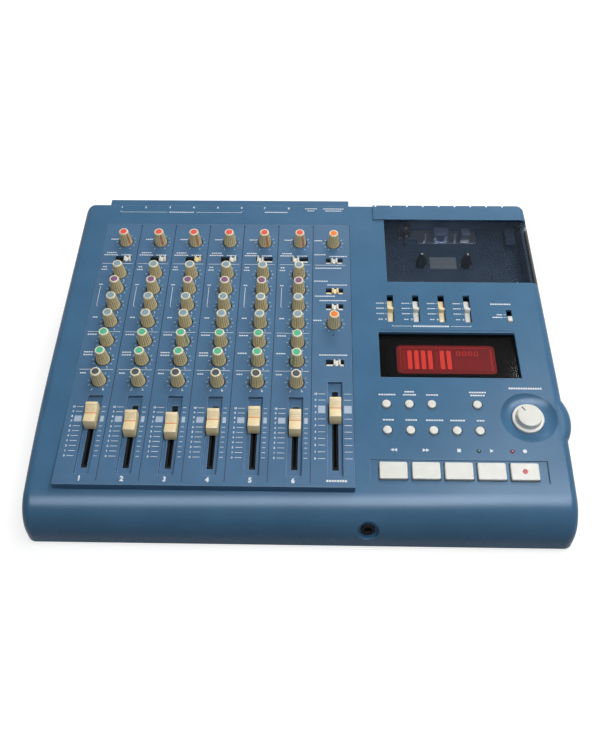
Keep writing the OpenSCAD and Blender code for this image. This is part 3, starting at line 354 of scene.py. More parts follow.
class Shape:
    # collects points, faces and material numbers of one piece
    def __init__(self, *finish):
        self.finish = list(finish)
        self.points, self.faces, self.paint, self.tint = [], [], [], []
        self.count = 0

    def add(self, points, faces, paint, tint=None):
        # faces are blocks of rows of point numbers, paint is one number or one for each face
        points = np.asarray(points, float).reshape(-1, 3)
        self.points.append(points)
        self.tint.append(np.zeros(len(points)) if tint is None else tint)
        sizes = []
        for block in faces:
            block = np.asarray(block)
            self.faces.extend((block + self.count).tolist())
            sizes.append(len(block))
        self.paint.append(np.broadcast_to(paint, (sum(sizes),)) if np.ndim(paint) == 0 else paint)
        self.count += len(points)

    def loft(self, rings, place, finish, ends=None, tint=None):
        # finish is one name or one for each band of rings
        points, faces, band = loft(rings)
        if isinstance(finish, str):
            finish = [finish] * (len(rings) - 1)
        number = np.array([self.finish.index(f) for f in finish])
        low, high = ends or (finish[0], finish[-1])
        m = rings.shape[1]
        paint = np.concatenate([number[band], np.full(m, self.finish.index(low)),
                                np.full(m, self.finish.index(high))])
        self.add(place(points), faces, paint, tint)
        return number

    def make(self, name, body, *nodes, crease=38):
        # makes the mesh, rides it on its body and hides the CAD nodes that it stands for
        mesh = bpy.data.meshes.new(name)
        points = toBody(np.concatenate(self.points))
        mesh.from_pydata(points.tolist(), [], self.faces)
        for f in self.finish:
            mesh.materials.append(plastics[f])
        mesh.polygons.foreach_set("material_index", np.concatenate(self.paint).astype(np.int32))
        # painted shade in the flutes, stored for each point as the groove attribute
        mark = mesh.attributes.new("groove", "FLOAT", "POINT")
        mark.data.foreach_set("value", np.concatenate(self.tint).astype(np.float32))
        mesh.validate()
        mesh.shade_smooth()
        mesh.set_sharp_from_angle(angle=math.radians(crease))
        made = bpy.data.objects.new(name, mesh)
        scene.collection.objects.link(made)
        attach(made, body)
        if nodes:
            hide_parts(*nodes)


def at(x, v, turn=0.0, curved=False):
    # a placing function for one spot of the deck
    return lambda p: seat(p, x, v, turn, curved)


# rotary knobs: where each row stands up the slope, and the colour of its insert
knobRows = {"trim": 248.7, "high": 209.4, "mid_frequency": 191.2, "mid_gain": 172.6, "low": 153.9,
            "effect_1": 133.2, "effect_2": 113.9, "pan": 92.6}
knobInsert = {"trim": "insertCoral", "high": "insertGrey", "mid_frequency": "insertPurple",
              "mid_gain": "insertGrey", "low": "insertGrey", "effect_1": "insertGreen",
              "effect_2": "insertGreen", "pan": "insertDark"}
# painted shade darkens the flutes, at the given strength where they are deepest
knob = {"flutes": 16, "points": 128, "deepest": 0.5, "fluteShade": 0.85, "stripe": (-2, -1, 0, 1),
        "sideBands": (2, 9), "rimBands": (9, 13)}
levelKnobs = {"x": 213.6, "upper": (248.1, 140), "lower": (153.8, 90)}
channelPitch, knobOffset = 32.5, 20.0
# where each pointer stands, in degrees from the right; the rest point up the slope
pointers = {(0, "trim"): -40, (1, "trim"): -62, (2, "trim"): -58, (4, "trim"): -62, (5, "trim"): -55,
            (2, "effect_1"): -32, (4, "effect_2"): -142, (5, "effect_2"): -125, (4, "pan"): -142}


def addKnob(shape, x, v, insert, pointer):
    # a turned profile whose radius dips by a power of the cosine, once for each flute
    flutes, m = knob["flutes"], knob["points"]
    shade = lambda t: np.clip(-np.cos(flutes * t), 0, 1) ** 2.5
    profile = [(5.2, -0.8, 0), (5.75, -0.6, 0), (5.75, 0.3, 0), (5.62, 0.9, 0.32), (5.5, 1.6, 0.5),
               (5.05, 5.5, 0.5), (4.6, 9.3, 0.48), (4.28, 12.1, 0.42), (4.2, 12.75, 0.1), (4.15, 13.2, 0),
               (3.98, 13.65, 0), (3.65, 13.88, 0), (3.1, 13.9, 0), (2.95, 13.78, 0), (2.9, 13.62, 0),
               (2.2, 13.7, 0), (1.0, 13.74, 0)]
    finish = ["knobBeige"] * 8 + ["knobRim"] * 5 + [insert] * 3
    rings = circleRings(profile, m, shade)
    # painted shade: each point deep in a flute gets a share of the darker groove colour, strongest at the
    # deepest
    depth = np.array([p[2] for p in profile])[:, None] / knob["deepest"]
    fluteShade = depth * shade(np.arange(m) * 2 * math.pi / m) * knob["fluteShade"]
    tint = np.concatenate([fluteShade.ravel(), [0, 0]])
    number = shape.loft(rings, at(x, v, pointer), finish, (finish[0], insert), tint)
    # the pointer is a painted stripe from the insert down the side
    bands = shape.paint[-1].copy()
    grid = bands[:len(number) * m].reshape(len(number), m)
    stripe = np.array(knob["stripe"]) % m
    grid[slice(*knob["sideBands"]), stripe] = shape.finish.index(insert)
    grid[slice(*knob["rimBands"]), stripe] = shape.finish.index("knobRim")
    shape.paint[-1] = bands
    # hidden shaft down to the control
    shape.loft(circleRings([(2.9, -15.7), (3.0, -15.6), (3.0, -0.7), (2.9, -0.6)], 16), at(x, v), "nickel")


for name, v in knobRows.items():
    shape = Shape("knobBeige", "knobRim", "nickel", knobInsert[name])
    addKnob(shape, knobOffset, v, knobInsert[name], pointers.get((0, name), 90))
    shape.make(name + "KnobFluted", name + "_knob", name + "_knob")
shape = Shape("knobBeige", "knobRim", "nickel", *sorted(set(knobInsert.values())))
for channel in range(1, 6):
    for name, v in knobRows.items():
        addKnob(shape, channel * channelPitch + knobOffset, v, knobInsert[name],
                pointers.get((channel, name), 90))
shape.make("channelKnobsFluted", "case", "channel_knobs_2_to_6")
for level in ("upper", "lower"):
    v, pointer = levelKnobs[level]
    name = "level_knob_" + level
    shape = Shape("knobBeige", "knobRim", "nickel", "insertOrange")
    addKnob(shape, levelKnobs["x"], v, "insertOrange", pointer)
    shape.make(name + "Fluted", name, name)
print("rotary knobs done")

# fader caps, carried across as one outline of v and w
fader = {"half": 4.7, "length": 0.94, "back": 0.5, "lineBand": 15, "slot": 6, "recess": 13.9,
         "at": [58.0, 51.0, 49.2, 53.2, 55.5, 53.2], "masterRecess": 208.1, "masterAt": 64.9}
capOutline = [(-10.5, -3.3), (10.5, -3.3), (10.5, 5.4), (10.25, 6.5), (9.6, 7.4), (8.6, 7.8), (7.4, 7.75),
              (6.75, 7.55), (6.6, 7.05), (5.1, 6.9), (4.95, 6.4), (3.5, 6.3), (3.35, 5.85), (1.9, 5.75),
              (1.75, 5.4), (0.45, 5.3), (-0.45, 5.3), (-1.6, 5.4), (-4.5, 5.85), (-6.6, 6.3), (-7.9, 6.4),
              (-8.6, 6.1), (-9.1, 5.4), (-10.25, 1.4), (-10.45, 0.8)]


def addCap(shape, x, v):
    # the outline carried across the cap, shortened to length and set back on its lever
    rings = crossRings(capOutline, fader["half"], 0.5)
    points, faces = flatLoft(rings)
    paint = np.zeros(len(faces[0]) + 2, int)
    grid = paint[:len(faces[0])].reshape(len(rings) - 1, rings.shape[1])
    grid[:, fader["lineBand"]] = 1  # the line in the finger hollow
    points[:, 1] = points[:, 1] * fader["length"] + fader["back"]
    shape.add(seat(points, x, v), faces, paint)
    # flat lever through the slot, and the slider under the panel
    shape.loft(slabRings((0.6, 2.0), 0.3, [(0.1, -8.3), (0, -8.2), (0, -3.4), (0.1, -3.3)], 2),
               at(x, v), "nickel")
    shape.loft(slabRings((3.4, 4.0), 0.5, [(0.3, -11.3), (0, -11), (0, -8.6), (0.3, -8.3)], 2),
               at(x, v), "nickel")


for k, v in enumerate(fader["at"]):
    shape = Shape("capCream", "lineOrange", "nickel")
    addCap(shape, k * channelPitch + fader["recess"] + fader["slot"], v)
    shape.make("faderCap%dMoulded" % (k + 1), "fader_cap_%d" % (k + 1), "fader_cap_%d" % (k + 1), crease=28)
shape = Shape("capCream", "lineOrange", "nickel")
addCap(shape, fader["masterRecess"] + fader["slot"], fader["masterAt"])
shape.make("masterFaderCapMoulded", "master_fader_cap", "master_fader_cap", crease=28)
print("fader caps done")

# transport keys on the curved front of the deck, and a red dot on the record key
key = {"v": 15.9, "first": 258.5, "pitch": 25.1, "half": (10.8, 6.9), "corner": 1.3}
keyProfile = [(0.3, -4.5), (0, -4.2), (0, 0.95), (0.1, 1.3), (0.35, 1.52), (0.75, 1.6), (2.2, 1.54),
              (4.5, 1.48), (6.0, 1.46)]
keyNames = ["rewind", "fast_forward", "stop", "play", "record"]
for k, name in enumerate(keyNames):
    shape = Shape("keyWhite", "dotRed")
    x = key["first"] + k * key["pitch"]
    shape.loft(slabRings(key["half"], key["corner"], keyProfile, 6),
               at(x, key["v"], curved=True), "keyWhite")
    shape.loft(circleRings([(1.9, -6.9), (2.0, -6.8), (2.0, -4.4), (1.9, -4.3)], 24),
               at(x, key["v"], curved=True), "keyWhite")
    if name == "record":
        shape.loft(circleRings([(2.0, 1.3), (2.0, 1.56), (1.9, 1.62), (1.0, 1.64)], 40),
                   at(x, key["v"], curved=True), "dotRed")
    shape.make(name + "KeyMoulded", name + "_key", name + "_key")

# round buttons in two rows
button = {"v": 61.6, "step": 23.4, "upper": [255.3, 273.6, 291.7, 328],
          "lower": [255.2, 273.5, 291.6, 309.9, 327.9]}
buttonProfile = [(1.4, -8.2), (1.5, -8.1), (1.5, -4.9), (4.5, -4.7), (4.6, -4.6), (4.6, -3.6), (4.5, -3.4),
                 (3.5, -3.35), (3.5, 0.7), (3.42, 1.05), (3.2, 1.3), (2.8, 1.44), (1.8, 1.5), (0.8, 1.53)]
for side, row in ((1, "upper"), (-1, "lower")):
    for k, x in enumerate(button[row]):
        shape = Shape("keyWhite")
        shift = np.array([0, side * button["step"] / 2, 0])
        rings = circleRings(buttonProfile, 40) + shift
        shape.loft(rings, at(x, button["v"], curved=True), "keyWhite")
        name = "%s_button_%d" % (row, k + 1)
        shape.make(name + "Domed", name, name)

# pitch knob: a skirt, a raised cap and a black mark near its rim
pitch = {"x": 368.0, "v": 63.0, "turn": 127.0, "mark": 7.2}
pitchProfile = [(12.4, -6.2), (12.7, -6.05), (12.75, -5.8), (12.75, -2.5), (12.65, -2.1), (12.35, -1.85),
                (11.9, -1.8), (11.0, -1.8), (10.5, -1.72), (10.3, -1.5), (10.2, -1.1), (9.85, 2.5),
                (9.75, 2.95), (9.45, 3.25), (8.9, 3.4), (6.0, 3.44), (3.0, 3.46)]
shape = Shape("keyWhite", "markBlack", "nickel")
shape.loft(circleRings(pitchProfile, 120), at(pitch["x"], pitch["v"], curved=True), "keyWhite")
rings = slabRings((2.0, 0.42), 0.2, [(0, 3.2), (0, 3.44), (0.06, 3.5)], 3) + np.array([pitch["mark"], 0, 0])
shape.loft(rings, at(pitch["x"], pitch["v"], pitch["turn"], True), "markBlack")
shape.loft(circleRings([(2.9, -16.5), (3.0, -16.4), (3.0, -6.2), (2.9, -6.1)], 24),
           at(pitch["x"], pitch["v"], curved=True), "nickel")
shape.make("pitchKnobTurned", "pitch_knob", "pitch_knob")
print("keys, buttons and pitch knob done")

# slide switches: one in each channel and a column of four in the master strip
slide = {"v": 227.6, "x": 20.2, "throw": 3.6, "half": 2.7, "length": 0.8, "columnX": 214.3,
         "columnV": [226.4, 190.6, 172.4, 112.8], "columnShift": [0, 0.6, 0.4, 1.6],
         "columnCap": ["keyWhite", "capCream", "keyWhite", "keyWhite"]}
slideOutline = [(3.75, 0.8), (3.3, 1.35), (2.2, 1.4), (1.6, 1.0), (1.0, -0.3), (-1.0, -0.3), (-1.6, 1.0),
                (-2.2, 1.4), (-3.3, 1.35), (-3.75, 0.8), (-4, -3.3), (4, -3.3)]


def addSlide(shape, x, v, shift, finish, shelf):
    # body on the board, a shelf across the opening and a cap with two finger ridges
    shape.loft(slabRings((8.6, 3.9), 0.4, [(0.2, -16.9), (0, -16.8), (0, -3.6), (0.2, -3.4)], 2),
               at(x, v), "slotBlack")
    if shelf:
        shape.loft(slabRings((7.4, 1.1), 0.3, [(0.1, -3.4), (0, -3.3), (0, -1.1), (0.2, -0.9)], 3)
                   + np.array([0, -2.1, 0]), at(x, v), finish)
    points, faces = flatLoft(crossRings(slideOutline, slide["half"], 0.4))
    points = np.stack([points[:, 1] * slide["length"] + shift, -points[:, 0] - 0.1, points[:, 2]], -1)
    shape.add(seat(points, x, v), faces, shape.finish.index(finish))


shape = Shape("slotBlack", "keyWhite", "capCream")
for k in range(6):
    addSlide(shape, k * channelPitch + slide["x"], slide["v"], slide["throw"] * (1 if k < 4 else -1),
             "capCream" if k == 2 else "keyWhite", k > 3)
for v, finish, shift in zip(slide["columnV"], slide["columnCap"], slide["columnShift"]):
    addSlide(shape, slide["columnX"], v, shift, finish, True)
shape.make("slideSwitchCaps", "case", "slide_switches", crease=30)

# record switches over the display, and the tape speed switch beside them
record = {"first": 263.1, "pitch": 22.3, "v": 171.0, "half": 2.45}
recordOutline = [(-11.3, -4.7), (12.0, -4.7), (12.0, -4.2), (11.4, -3.5), (10.6, -3.3), (4.5, -3.3),
                 (2.1, -3.2), (1.3, 0.3), (0.9, 0.85), (0, 1.0), (-0.9, 0.85), (-1.3, 0.3), (-2.1, -3.2),
                 (-5.0, -3.3), (-10.0, -3.4), (-11.0, -3.9), (-11.3, -4.3)]
for k in range(4):
    finish = "capCream" if k % 2 == 0 else "keyWhite"
    shape = Shape(finish)
    rings = crossRings(recordOutline, record["half"], 0.25)
    points, faces = flatLoft(rings)
    shape.add(seat(points, record["first"] + k * record["pitch"], record["v"]), faces, 0)
    name = "record_switch_%d" % (k + 1)
    shape.make("recordSwitch%dCap" % (k + 1), name, name, crease=30)
speed = {"x": 365.6, "v": 160.6, "half": 2.0}
speedOutline = [(-6.5, -4.7), (5.5, -4.7), (5.5, -3.6), (5.2, -3.3), (3.6, -3.2), (2.7, 0.5), (2.2, 0.95),
                (1.2, 1.0), (0.8, 0.7), (-0.8, 0.7), (-1.2, 1.0), (-2.2, 0.95), (-2.7, 0.5), (-3.6, -3.2),
                (-6.2, -3.3), (-6.5, -3.6)]
shape = Shape("keyWhite")
points, faces = flatLoft(crossRings(speedOutline, speed["half"], 0.2))
shape.add(seat(points, speed["x"], speed["v"]), faces, 0)
shape.make("tapeSpeedCap", "tape_speed_switch", "tape_speed_switch", crease=30)
print("switches done")

# lit display behind its window: boxes are x0, x1, v0, v1 in deck mm, w is the height of the lit
# face, and what is drawn on it is placed from the corners of the lit box
display = {"w": -5.4, "tube": (258, 360, 103, 141.5), "board": (251.8, 366.6, 99.2, 145.3),
           "tubeDeep": 6.6, "boardDeep": 8.2, "lit": (266.5, 349.5, 106.5, 135.5),
           "faint": 0.04, "bright": 0.06,
           "bars": (0, 1, 2, 3, 4.75, 5.75), "barPitch": 5.75, "barWide": 3.6, "barAt": (9.2, 4.6, 5.5),
           "scaleRows": 12, "scalePitch": 1.55, "scaleFoot": 4.8, "scaleX": ((5.2, 7.6), (32.6, 34.8)),
           "digits": 4, "digitPitch": 5.0, "digitAt": (50.5, 10.5),
           "markRows": 5, "markColumns": 15, "markPitch": (1.9, 2.3), "markAt": (48.5, 4.6),
           "mark": (1.1, 0.7)}
# a seven segment zero as x0, x1, v0, v1 of its drawn strokes
zeroStrokes = ((0.5, 2.9, 3.9, 4.4), (0.5, 2.9, 0, 0.5), (0, 0.5, 0.5, 3.9), (2.9, 3.4, 0.5, 3.9))
shape = Shape("slotBlack", "glowDim", "glowFrame", "glowBar")


def addPlate(shape, box, low, high, finish):
    # a flat plate over a box, its corners rounded by a share of its short side
    x0, x1, v0, v1 = box
    rings = slabRings(((x1 - x0) / 2, (v1 - v0) / 2), min(x1 - x0, v1 - v0) * 0.12,
                      [(0, low), (0, high - 0.02), (0.02, high)], 2)
    shape.loft(rings, at((x0 + x1) / 2, (v0 + v1) / 2), finish)


w = display["w"]
faint, bright = w + display["faint"], w + display["bright"]
addPlate(shape, display["tube"], w - display["tubeDeep"], w - 0.05, "slotBlack")
addPlate(shape, display["board"], w - display["boardDeep"], w - display["tubeDeep"], "slotBlack")
x0, x1, v0, v1 = display["lit"]
addPlate(shape, display["lit"], w - 0.05, w, "glowDim")
for box in ((x0 + 3, x1 - 6, v1 - 3.0, v1 - 2.2), (x0 + 3, x0 + 3.6, v0 + 4, v1 - 3),
            (x1 - 4.2, x1 - 2.8, v0 + 3, v1 - 4)):
    addPlate(shape, box, w, faint, "glowFrame")  # bar along the top and down both sides
aside, foot, head = display["barAt"]
for bar in display["bars"]:
    a = x0 + aside + bar * display["barPitch"]
    addPlate(shape, (a, a + display["barWide"], v0 + foot, v1 - head), w, bright, "glowBar")
for row in range(display["scaleRows"]):  # level scale on both sides of the bars
    v = v0 + display["scaleFoot"] + row * display["scalePitch"]
    for left, right in display["scaleX"]:
        addPlate(shape, (x0 + left, x0 + right, v, v + 0.5), w, faint, "glowFrame")
for n in range(display["digits"]):  # counter of zeros, with a dim field of marks under it
    a, v = x0 + display["digitAt"][0] + n * display["digitPitch"], v1 - display["digitAt"][1]
    for left, right, low, high in zeroStrokes:
        addPlate(shape, (a + left, a + right, v + low, v + high), w, bright, "glowBar")
for row in range(display["markRows"]):
    for column in range(display["markColumns"]):
        a = x0 + display["markAt"][0] + column * display["markPitch"][0]
        v = v0 + display["markAt"][1] + row * display["markPitch"][1]
        addPlate(shape, (a, a + display["mark"][0], v, v + display["mark"][1]), w, faint, "glowFrame")
shape.make("displayLit", "case", "display_module")
print("display done")

# prints and lines of painted shade: flat ink a little over the deck, sizes in mm
prints = {"lift": 0.04, "thin": 0.42, "curveStep": 6, "barStep": 2.0, "barGap": 0.45, "barHigh": 1.15,
          "dotPoints": 14, "boldness": 0.045}
digitStore = {}


def digitShape(text):
    # outline of a plain number as points about its middle, one unit high
    if text not in digitStore:
        curve = bpy.data.curves.new("digit", "FONT")
        curve.body = text
        curve.size = 1.0
        curve.align_x = "CENTER"
        curve.offset = prints["boldness"]
        curve.resolution_u = 3
        holder = bpy.data.objects.new("digit", curve)
        scene.collection.objects.link(holder)
        mesh = holder.to_mesh()
        points = np.array([v.co[:] for v in mesh.vertices])
        faces = [list(p.vertices) for p in mesh.polygons]
        holder.to_mesh_clear()
        bpy.data.objects.remove(holder)
        bpy.data.curves.remove(curve)
        high = points[:, 1].max() - points[:, 1].min()
        points = (points - [0, points[:, 1].min() + high / 2, 0]) / high
        digitStore[text] = (points, faces)
    return digitStore[text]


class Print:
    # flat ink on the deck, for print and for lines of painted shade; every point is laid on the surface
    def __init__(self, curved):
        self.curved, self.points, self.faces, self.paint, self.count = curved, [], [], [], 0

    def put(self, p, faces, ink):
        # adds points (x, v) and their faces, at the deck's fall there plus the ink's lift
        p = np.asarray(p, float).reshape(-1, 2)
        drop = fallAt(p[:, 1])[0] if self.curved else np.zeros(len(p))
        self.points.append(np.column_stack([p, drop + prints["lift"]]))
        self.faces.extend([[int(i) + self.count for i in f] for f in faces])
        self.paint.extend([ink] * len(faces))
        self.count += len(p)

    def line(self, x0, v0, x1, v1, wide, ink=0):
        # a strip of quads between two ends, cut into steps where the deck is curved
        a, b = np.array([x0, v0], float), np.array([x1, v1], float)
        n = max(1, int(np.linalg.norm(b - a) / prints["curveStep"])) if self.curved else 1
        side = np.array([-(b - a)[1], (b - a)[0]]) / max(np.linalg.norm(b - a), 1e-6) * wide / 2
        t = np.linspace(0, 1, n + 1)[:, None]
        mid = a + (b - a) * t
        both = np.stack([mid - side, mid + side], 1).reshape(-1, 2)
        k = np.arange(n)[:, None] * 2
        self.put(both, (k + np.array([[0, 2, 3, 1]])).tolist(), ink)

    def block(self, x0, v0, x1, v1, ink=0):
        # a rectangle between two corners
        self.put([(x0, v0), (x1, v0), (x1, v1), (x0, v1)], [[0, 1, 2, 3]], ink)

    def dot(self, x, v, r, ink=0):
        # a disc, its rim at even steps round the middle
        t = np.arange(prints["dotPoints"]) * 2 * math.pi / prints["dotPoints"]
        self.put(np.stack([x + r * np.cos(t), v + r * np.sin(t)], -1), [list(range(len(t)))], ink)

    def number(self, text, x, v, high):
        # a plain number, grown from one unit to high millimetres
        points, faces = digitShape(text)
        self.put(points[:, :2] * high + [x, v], faces, 0)

    def dashes(self, x, v, length, high=prints["barHigh"]):
        # a plain broken bar that marks a control
        n = max(1, round(length / prints["barStep"]))
        for k in range(n):
            a = x - length / 2 + k * length / n
            self.block(a, v - high / 2, a + length / n - prints["barGap"], v + high / 2)

    def arrow(self, x, v, size, way):
        # a plain transport arrow, way 1 to the right and -1 to the left
        self.put([(x - way * size * 0.45, v - size / 2), (x + way * size * 0.45, v),
                  (x - way * size * 0.45, v + size / 2)], [[0, 1, 2] if way > 0 else [2, 1, 0]], 0)

    def bars(self, rows, left=0.0):
        # rows are (x, v, length), with a height at the end where it isn't the common one
        for x, v, *size in rows:
            self.dashes(left + x, v, *size)

    def rules(self, rows, left=0.0):
        # rows are the two ends of thin lines, (x0, v0, x1, v1)
        for x0, v0, x1, v1 in rows:
            self.line(left + x0, v0, left + x1, v1, prints["thin"])

    def ticks(self, x, v, skip=()):
        # short lines round a knob, from just right of its foot round to just left of it
        for n in range(knobPrint["count"]):
            if n not in skip:
                a = math.radians(knobPrint["from"] + n * knobPrint["step"])
                p = np.array([math.cos(a), math.sin(a)])
                ends = [np.array([x, v]) + p * knobPrint[end] for end in ("inner", "outer")]
                self.line(*ends[0], *ends[1], knobPrint["wide"])

    def faderScale(self, recess, travel, rightEnd):
        # ticks and numbers from 0 to 10 beside a fader, with a pale block near the top
        s = faderPrint
        outer, near = recess + s["left"], recess + s["right"]
        for n in range(11):
            v = s["zero"] + travel * n / 10
            if n not in s["hidden"]:
                self.line(outer, v, recess + s["tickEnd"], v, prints["thin"])
                self.line(near, v, recess + rightEnd, v, prints["thin"])
            self.number(str(n), recess + s["number"], v, s["digit"])
        low, high = (s["zero"] + travel * part for part in s["block"])
        self.block(outer, low, recess + s["blockEnd"], high, 2)
        self.block(near, low, recess + rightEnd, high, 2)

    def make(self, name, inks, body):
        mesh = bpy.data.meshes.new(name)
        mesh.from_pydata(toBody(np.concatenate(self.points)).tolist(), [], self.faces)
        for ink in inks:
            mesh.materials.append(plastics[ink])
        mesh.polygons.foreach_set("material_index", np.array(self.paint, np.int32))
        made = bpy.data.objects.new(name, mesh)
        scene.collection.objects.link(made)
        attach(made, body)


inks = ["printWhite", "grooveShade", "printPale"]
knobPrint = {"count": 11, "from": -60, "step": 30, "inner": 7.9, "outer": 9.3, "wide": 0.38,
             "dots": (-4.7, 4.7), "under": 8.6, "dot": 0.42}
faderPrint = {"zero": 22.9, "left": -7.6, "tickEnd": -2.0, "blockEnd": -1.9, "right": 13.2,
              "number": -9.7, "digit": 1.9, "hidden": (7, 8), "block": (0.69, 0.81),
              "channel": (44.5, 15.9), "master": (59.0, 19.2)}
# one channel strip, x from its left edge: trim, input, tone, effects and pan from the top down
strip = {"rules": [(2.0, v, channelPitch - 2.6, v) for v in (221.5, 143.2, 103.8)]
         + [(4.7, 194.0, 4.7, 172.4), (4.7, 172.0, 5.9, 171.2)],
         "bars": [(9.0, 252.0, 7.0), (8.5, 235.0, 9.5), (8.5, 232.2, 13.0), (22.5, 232.2, 9.5),
                  (5.0, 217.6, 4.0), (5.0, 214.4, 5.5), (4.9, 196.4, 3.6), (6.0, 159.0, 4.6),
                  (6.5, 140.2, 8.0), (6.5, 121.6, 8.0), (5.6, 100.2, 5.2)],
         "tapeBar": (6.5, 118.8, 8.0), "panDots": [(15.1, 83.6, 0.5), (24.7, 83.9, 0.75)],
         "number": (19.3, 3.9, 4.4), "groove": (2.0, 269.2, 0.8), "grooveEnd": (269.6, 0.95)}
master = {"levelBar": (199.6, 3.6, 7.6), "rules": [(196.8, 221.3, 224.5, 221.3)],
          "bars": [(201.5, 234.0, 10.5), (218.0, 232.0, 16.5), (209.0, 217.6, 24.0),
                   (202.5, 202.0, 12.5), (217.0, 197.6, 18.0), (206.0, 184.6, 18.0),
                   (213.0, 179.6, 24.0), (213.0, 120.6, 24.0), (215.0, 4.0, 16.0, 1.7)],
          "dot": (213.0, 141.6, 0.9)}
ink = Print(False)
for k in range(6):
    left = k * channelPitch
    right = left + channelPitch - 0.2
    # painted shade: a dark line down each groove between strips, with a dot at its top end
    low, high, wide = strip["groove"]
    ink.line(right, low, right, high, wide, 1)
    ink.dot(right, *strip["grooveEnd"], 1)
    ink.rules(strip["rules"], left)
    for name, v in knobRows.items():
        x = left + knobOffset
        ink.ticks(x, v, (0, 10) if name == "trim" else ())
        for side in knobPrint["dots"]:
            ink.dot(x + side, v - knobPrint["under"], knobPrint["dot"])
    ink.bars(strip["bars"], left)
    if k < 4:
        ink.bars([strip["tapeBar"]], left)
    for x, v, r in strip["panDots"]:
        ink.dot(left + x, v, r)
    x, v, high = strip["number"]
    ink.number(str(k + 1), left + x, v, high)
for k in range(6):
    ink.faderScale(k * channelPitch + fader["recess"], *faderPrint["channel"])
ink.faderScale(fader["masterRecess"], *faderPrint["master"])
for level in ("upper", "lower"):
    v = levelKnobs[level][0]
    ink.ticks(levelKnobs["x"], v)
    x, above, length = master["levelBar"]
    ink.dashes(x, v + above, length)
ink.rules(master["rules"])
ink.bars(master["bars"])
ink.dot(*master["dot"], 1)
ink.make("mixerPrintAndShade", inks, "case")

# over the rear sockets
rearPrint = {"channels": (9.4, 32.6, 56.0, 79.0, 102.3, 125.4), "channelsV": 294.6,
             "pair": (147.5, 170.8), "pairV": 294.0, "digit": 2.6,
             "rules": [(9.0, 288.0, 54.0, 288.0), (82.0, 288.0, 125.6, 288.0),
                       (9.0, 288.0, 9.0, 289.8), (125.6, 288.0, 125.6, 289.8)],
             "bars": [(68.0, 288.0, 24.0), (159.0, 288.6, 22.0), (192.5, 293.6, 12.0),
                      (192.5, 290.8, 7.0), (214.0, 293.6, 20.0), (214.0, 290.8, 16.0)]}
# beside the record switches, x from each switch, and beside the tape speed switch
recordPrint = {"rows": (177.2, 171.5, 165.6, 159.4), "lengths": (7.0, 7.0, 7.0, 4.0), "bar": -8.9,
               "tick": (-4.7, -3.5), "number": (-4.6, 159.4, 2.0),
               "rules": [(263.8, 152.0, 280.5, 152.0), (314.0, 152.0, 331.2, 152.0),
                         (263.8, 152.0, 263.8, 153.2), (331.2, 152.0, 331.2, 153.2),
                         (360.6, 165.3, 362.6, 165.3), (360.6, 162.4, 362.6, 162.4)],
               "bars": [(297.2, 152.0, 31.0, 1.6), (359.5, 177.0, 18.0, 1.4),
                        (357.2, 165.3, 5.0, 1.0), (355.4, 162.4, 9.0, 1.0)]}
# round the buttons, the pitch knob and the transport keys
buttonPrint = {"bars": [(256.4, 82.2, 14.0, 1.3), (274.5, 82.2, 11.0, 1.3), (292.7, 82.2, 10.0, 1.3),
                        (329.4, 82.2, 12.0, 1.3), (274.5, 85.0, 8.0, 1.3), (329.6, 85.0, 14.0, 1.3),
                        (256.5, 59.1, 9.0, 1.3), (274.7, 59.1, 9.5, 1.3), (293.2, 59.1, 14.0, 1.3),
                        (311.3, 59.1, 12.0, 1.3), (329.5, 59.1, 6.5, 1.3), (368.6, 89.2, 27.0, 1.7)]}
keyPrint = {"v": 33.2, "apart": 1.3, "back": 259.5, "on": 284.6, "wind": 2.9, "play": (335.5, 33.2, 3.2),
            "stop": (308.7, 31.8, 311.5, 34.6), "record": (361.0, 33.2, 1.6), "socket": (310.3, 8.9, 0.35)}
frameShade = (251.9, 147.6, 367.9, 147.6, 0.5)
ink = Print(True)
for k, x in enumerate(rearPrint["channels"]):
    ink.number(str(k + 1), x, rearPrint["channelsV"], rearPrint["digit"])
for k, x in enumerate(rearPrint["pair"]):
    ink.number(str(k + 7), x, rearPrint["pairV"], rearPrint["digit"])
ink.rules(rearPrint["rules"])
ink.bars(rearPrint["bars"])
for k in range(4):
    x = record["first"] + k * record["pitch"]
    start, end = recordPrint["tick"]
    for v, length in zip(recordPrint["rows"], recordPrint["lengths"]):
        ink.line(x + start, v, x + end, v, prints["thin"])
        ink.dashes(x + recordPrint["bar"], v, length, 1.0)
    aside, v, high = recordPrint["number"]
    ink.number(str(k + 1), x + aside, v, high)
ink.rules(recordPrint["rules"])
ink.bars(recordPrint["bars"])
ink.bars(buttonPrint["bars"])
for shift in (-keyPrint["apart"], keyPrint["apart"]):
    ink.arrow(keyPrint["back"] + shift, keyPrint["v"], keyPrint["wind"], -1)
    ink.arrow(keyPrint["on"] + shift, keyPrint["v"], keyPrint["wind"], 1)
ink.block(*keyPrint["stop"])
ink.arrow(*keyPrint["play"], 1)
ink.dot(*keyPrint["record"])
ink.dot(*keyPrint["socket"], 1)
ink.line(*frameShade, 1)  # shadow line over the display's frame
ink.make("deckPrintAndShade", inks, "case")
print("prints done")

# what each node of the CAD is made of
nodeFinish = {"bottom_case": "baseBlack", "top_case": "caseBlue", "mixer_panel": "panelBlue",
              "rear_jack_panel": "caseBlue", "display_window": "displayGlass", "cassette_well": "wellNavy",
              "transport_plate": "platedSteel", "circuit_boards": "boardGreen", "potentiometers": "slotBlack",
              "fader_units": "slotBlack", "jack_sockets": "nickel", "feet": "footRubber",
              "case_screws": "screwBlack", "capstan_motor": "platedSteel", "cassette_door": "smokedLid",
              "head_bridge": "platedSteel", "pinch_roller": "footRubber", "capstan_flywheel": "turnedSteel"}
for name, finish in nodeFinish.items():
    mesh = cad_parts[name].data
    mesh.materials.clear()
    mesh.materials.append(plastics[finish])


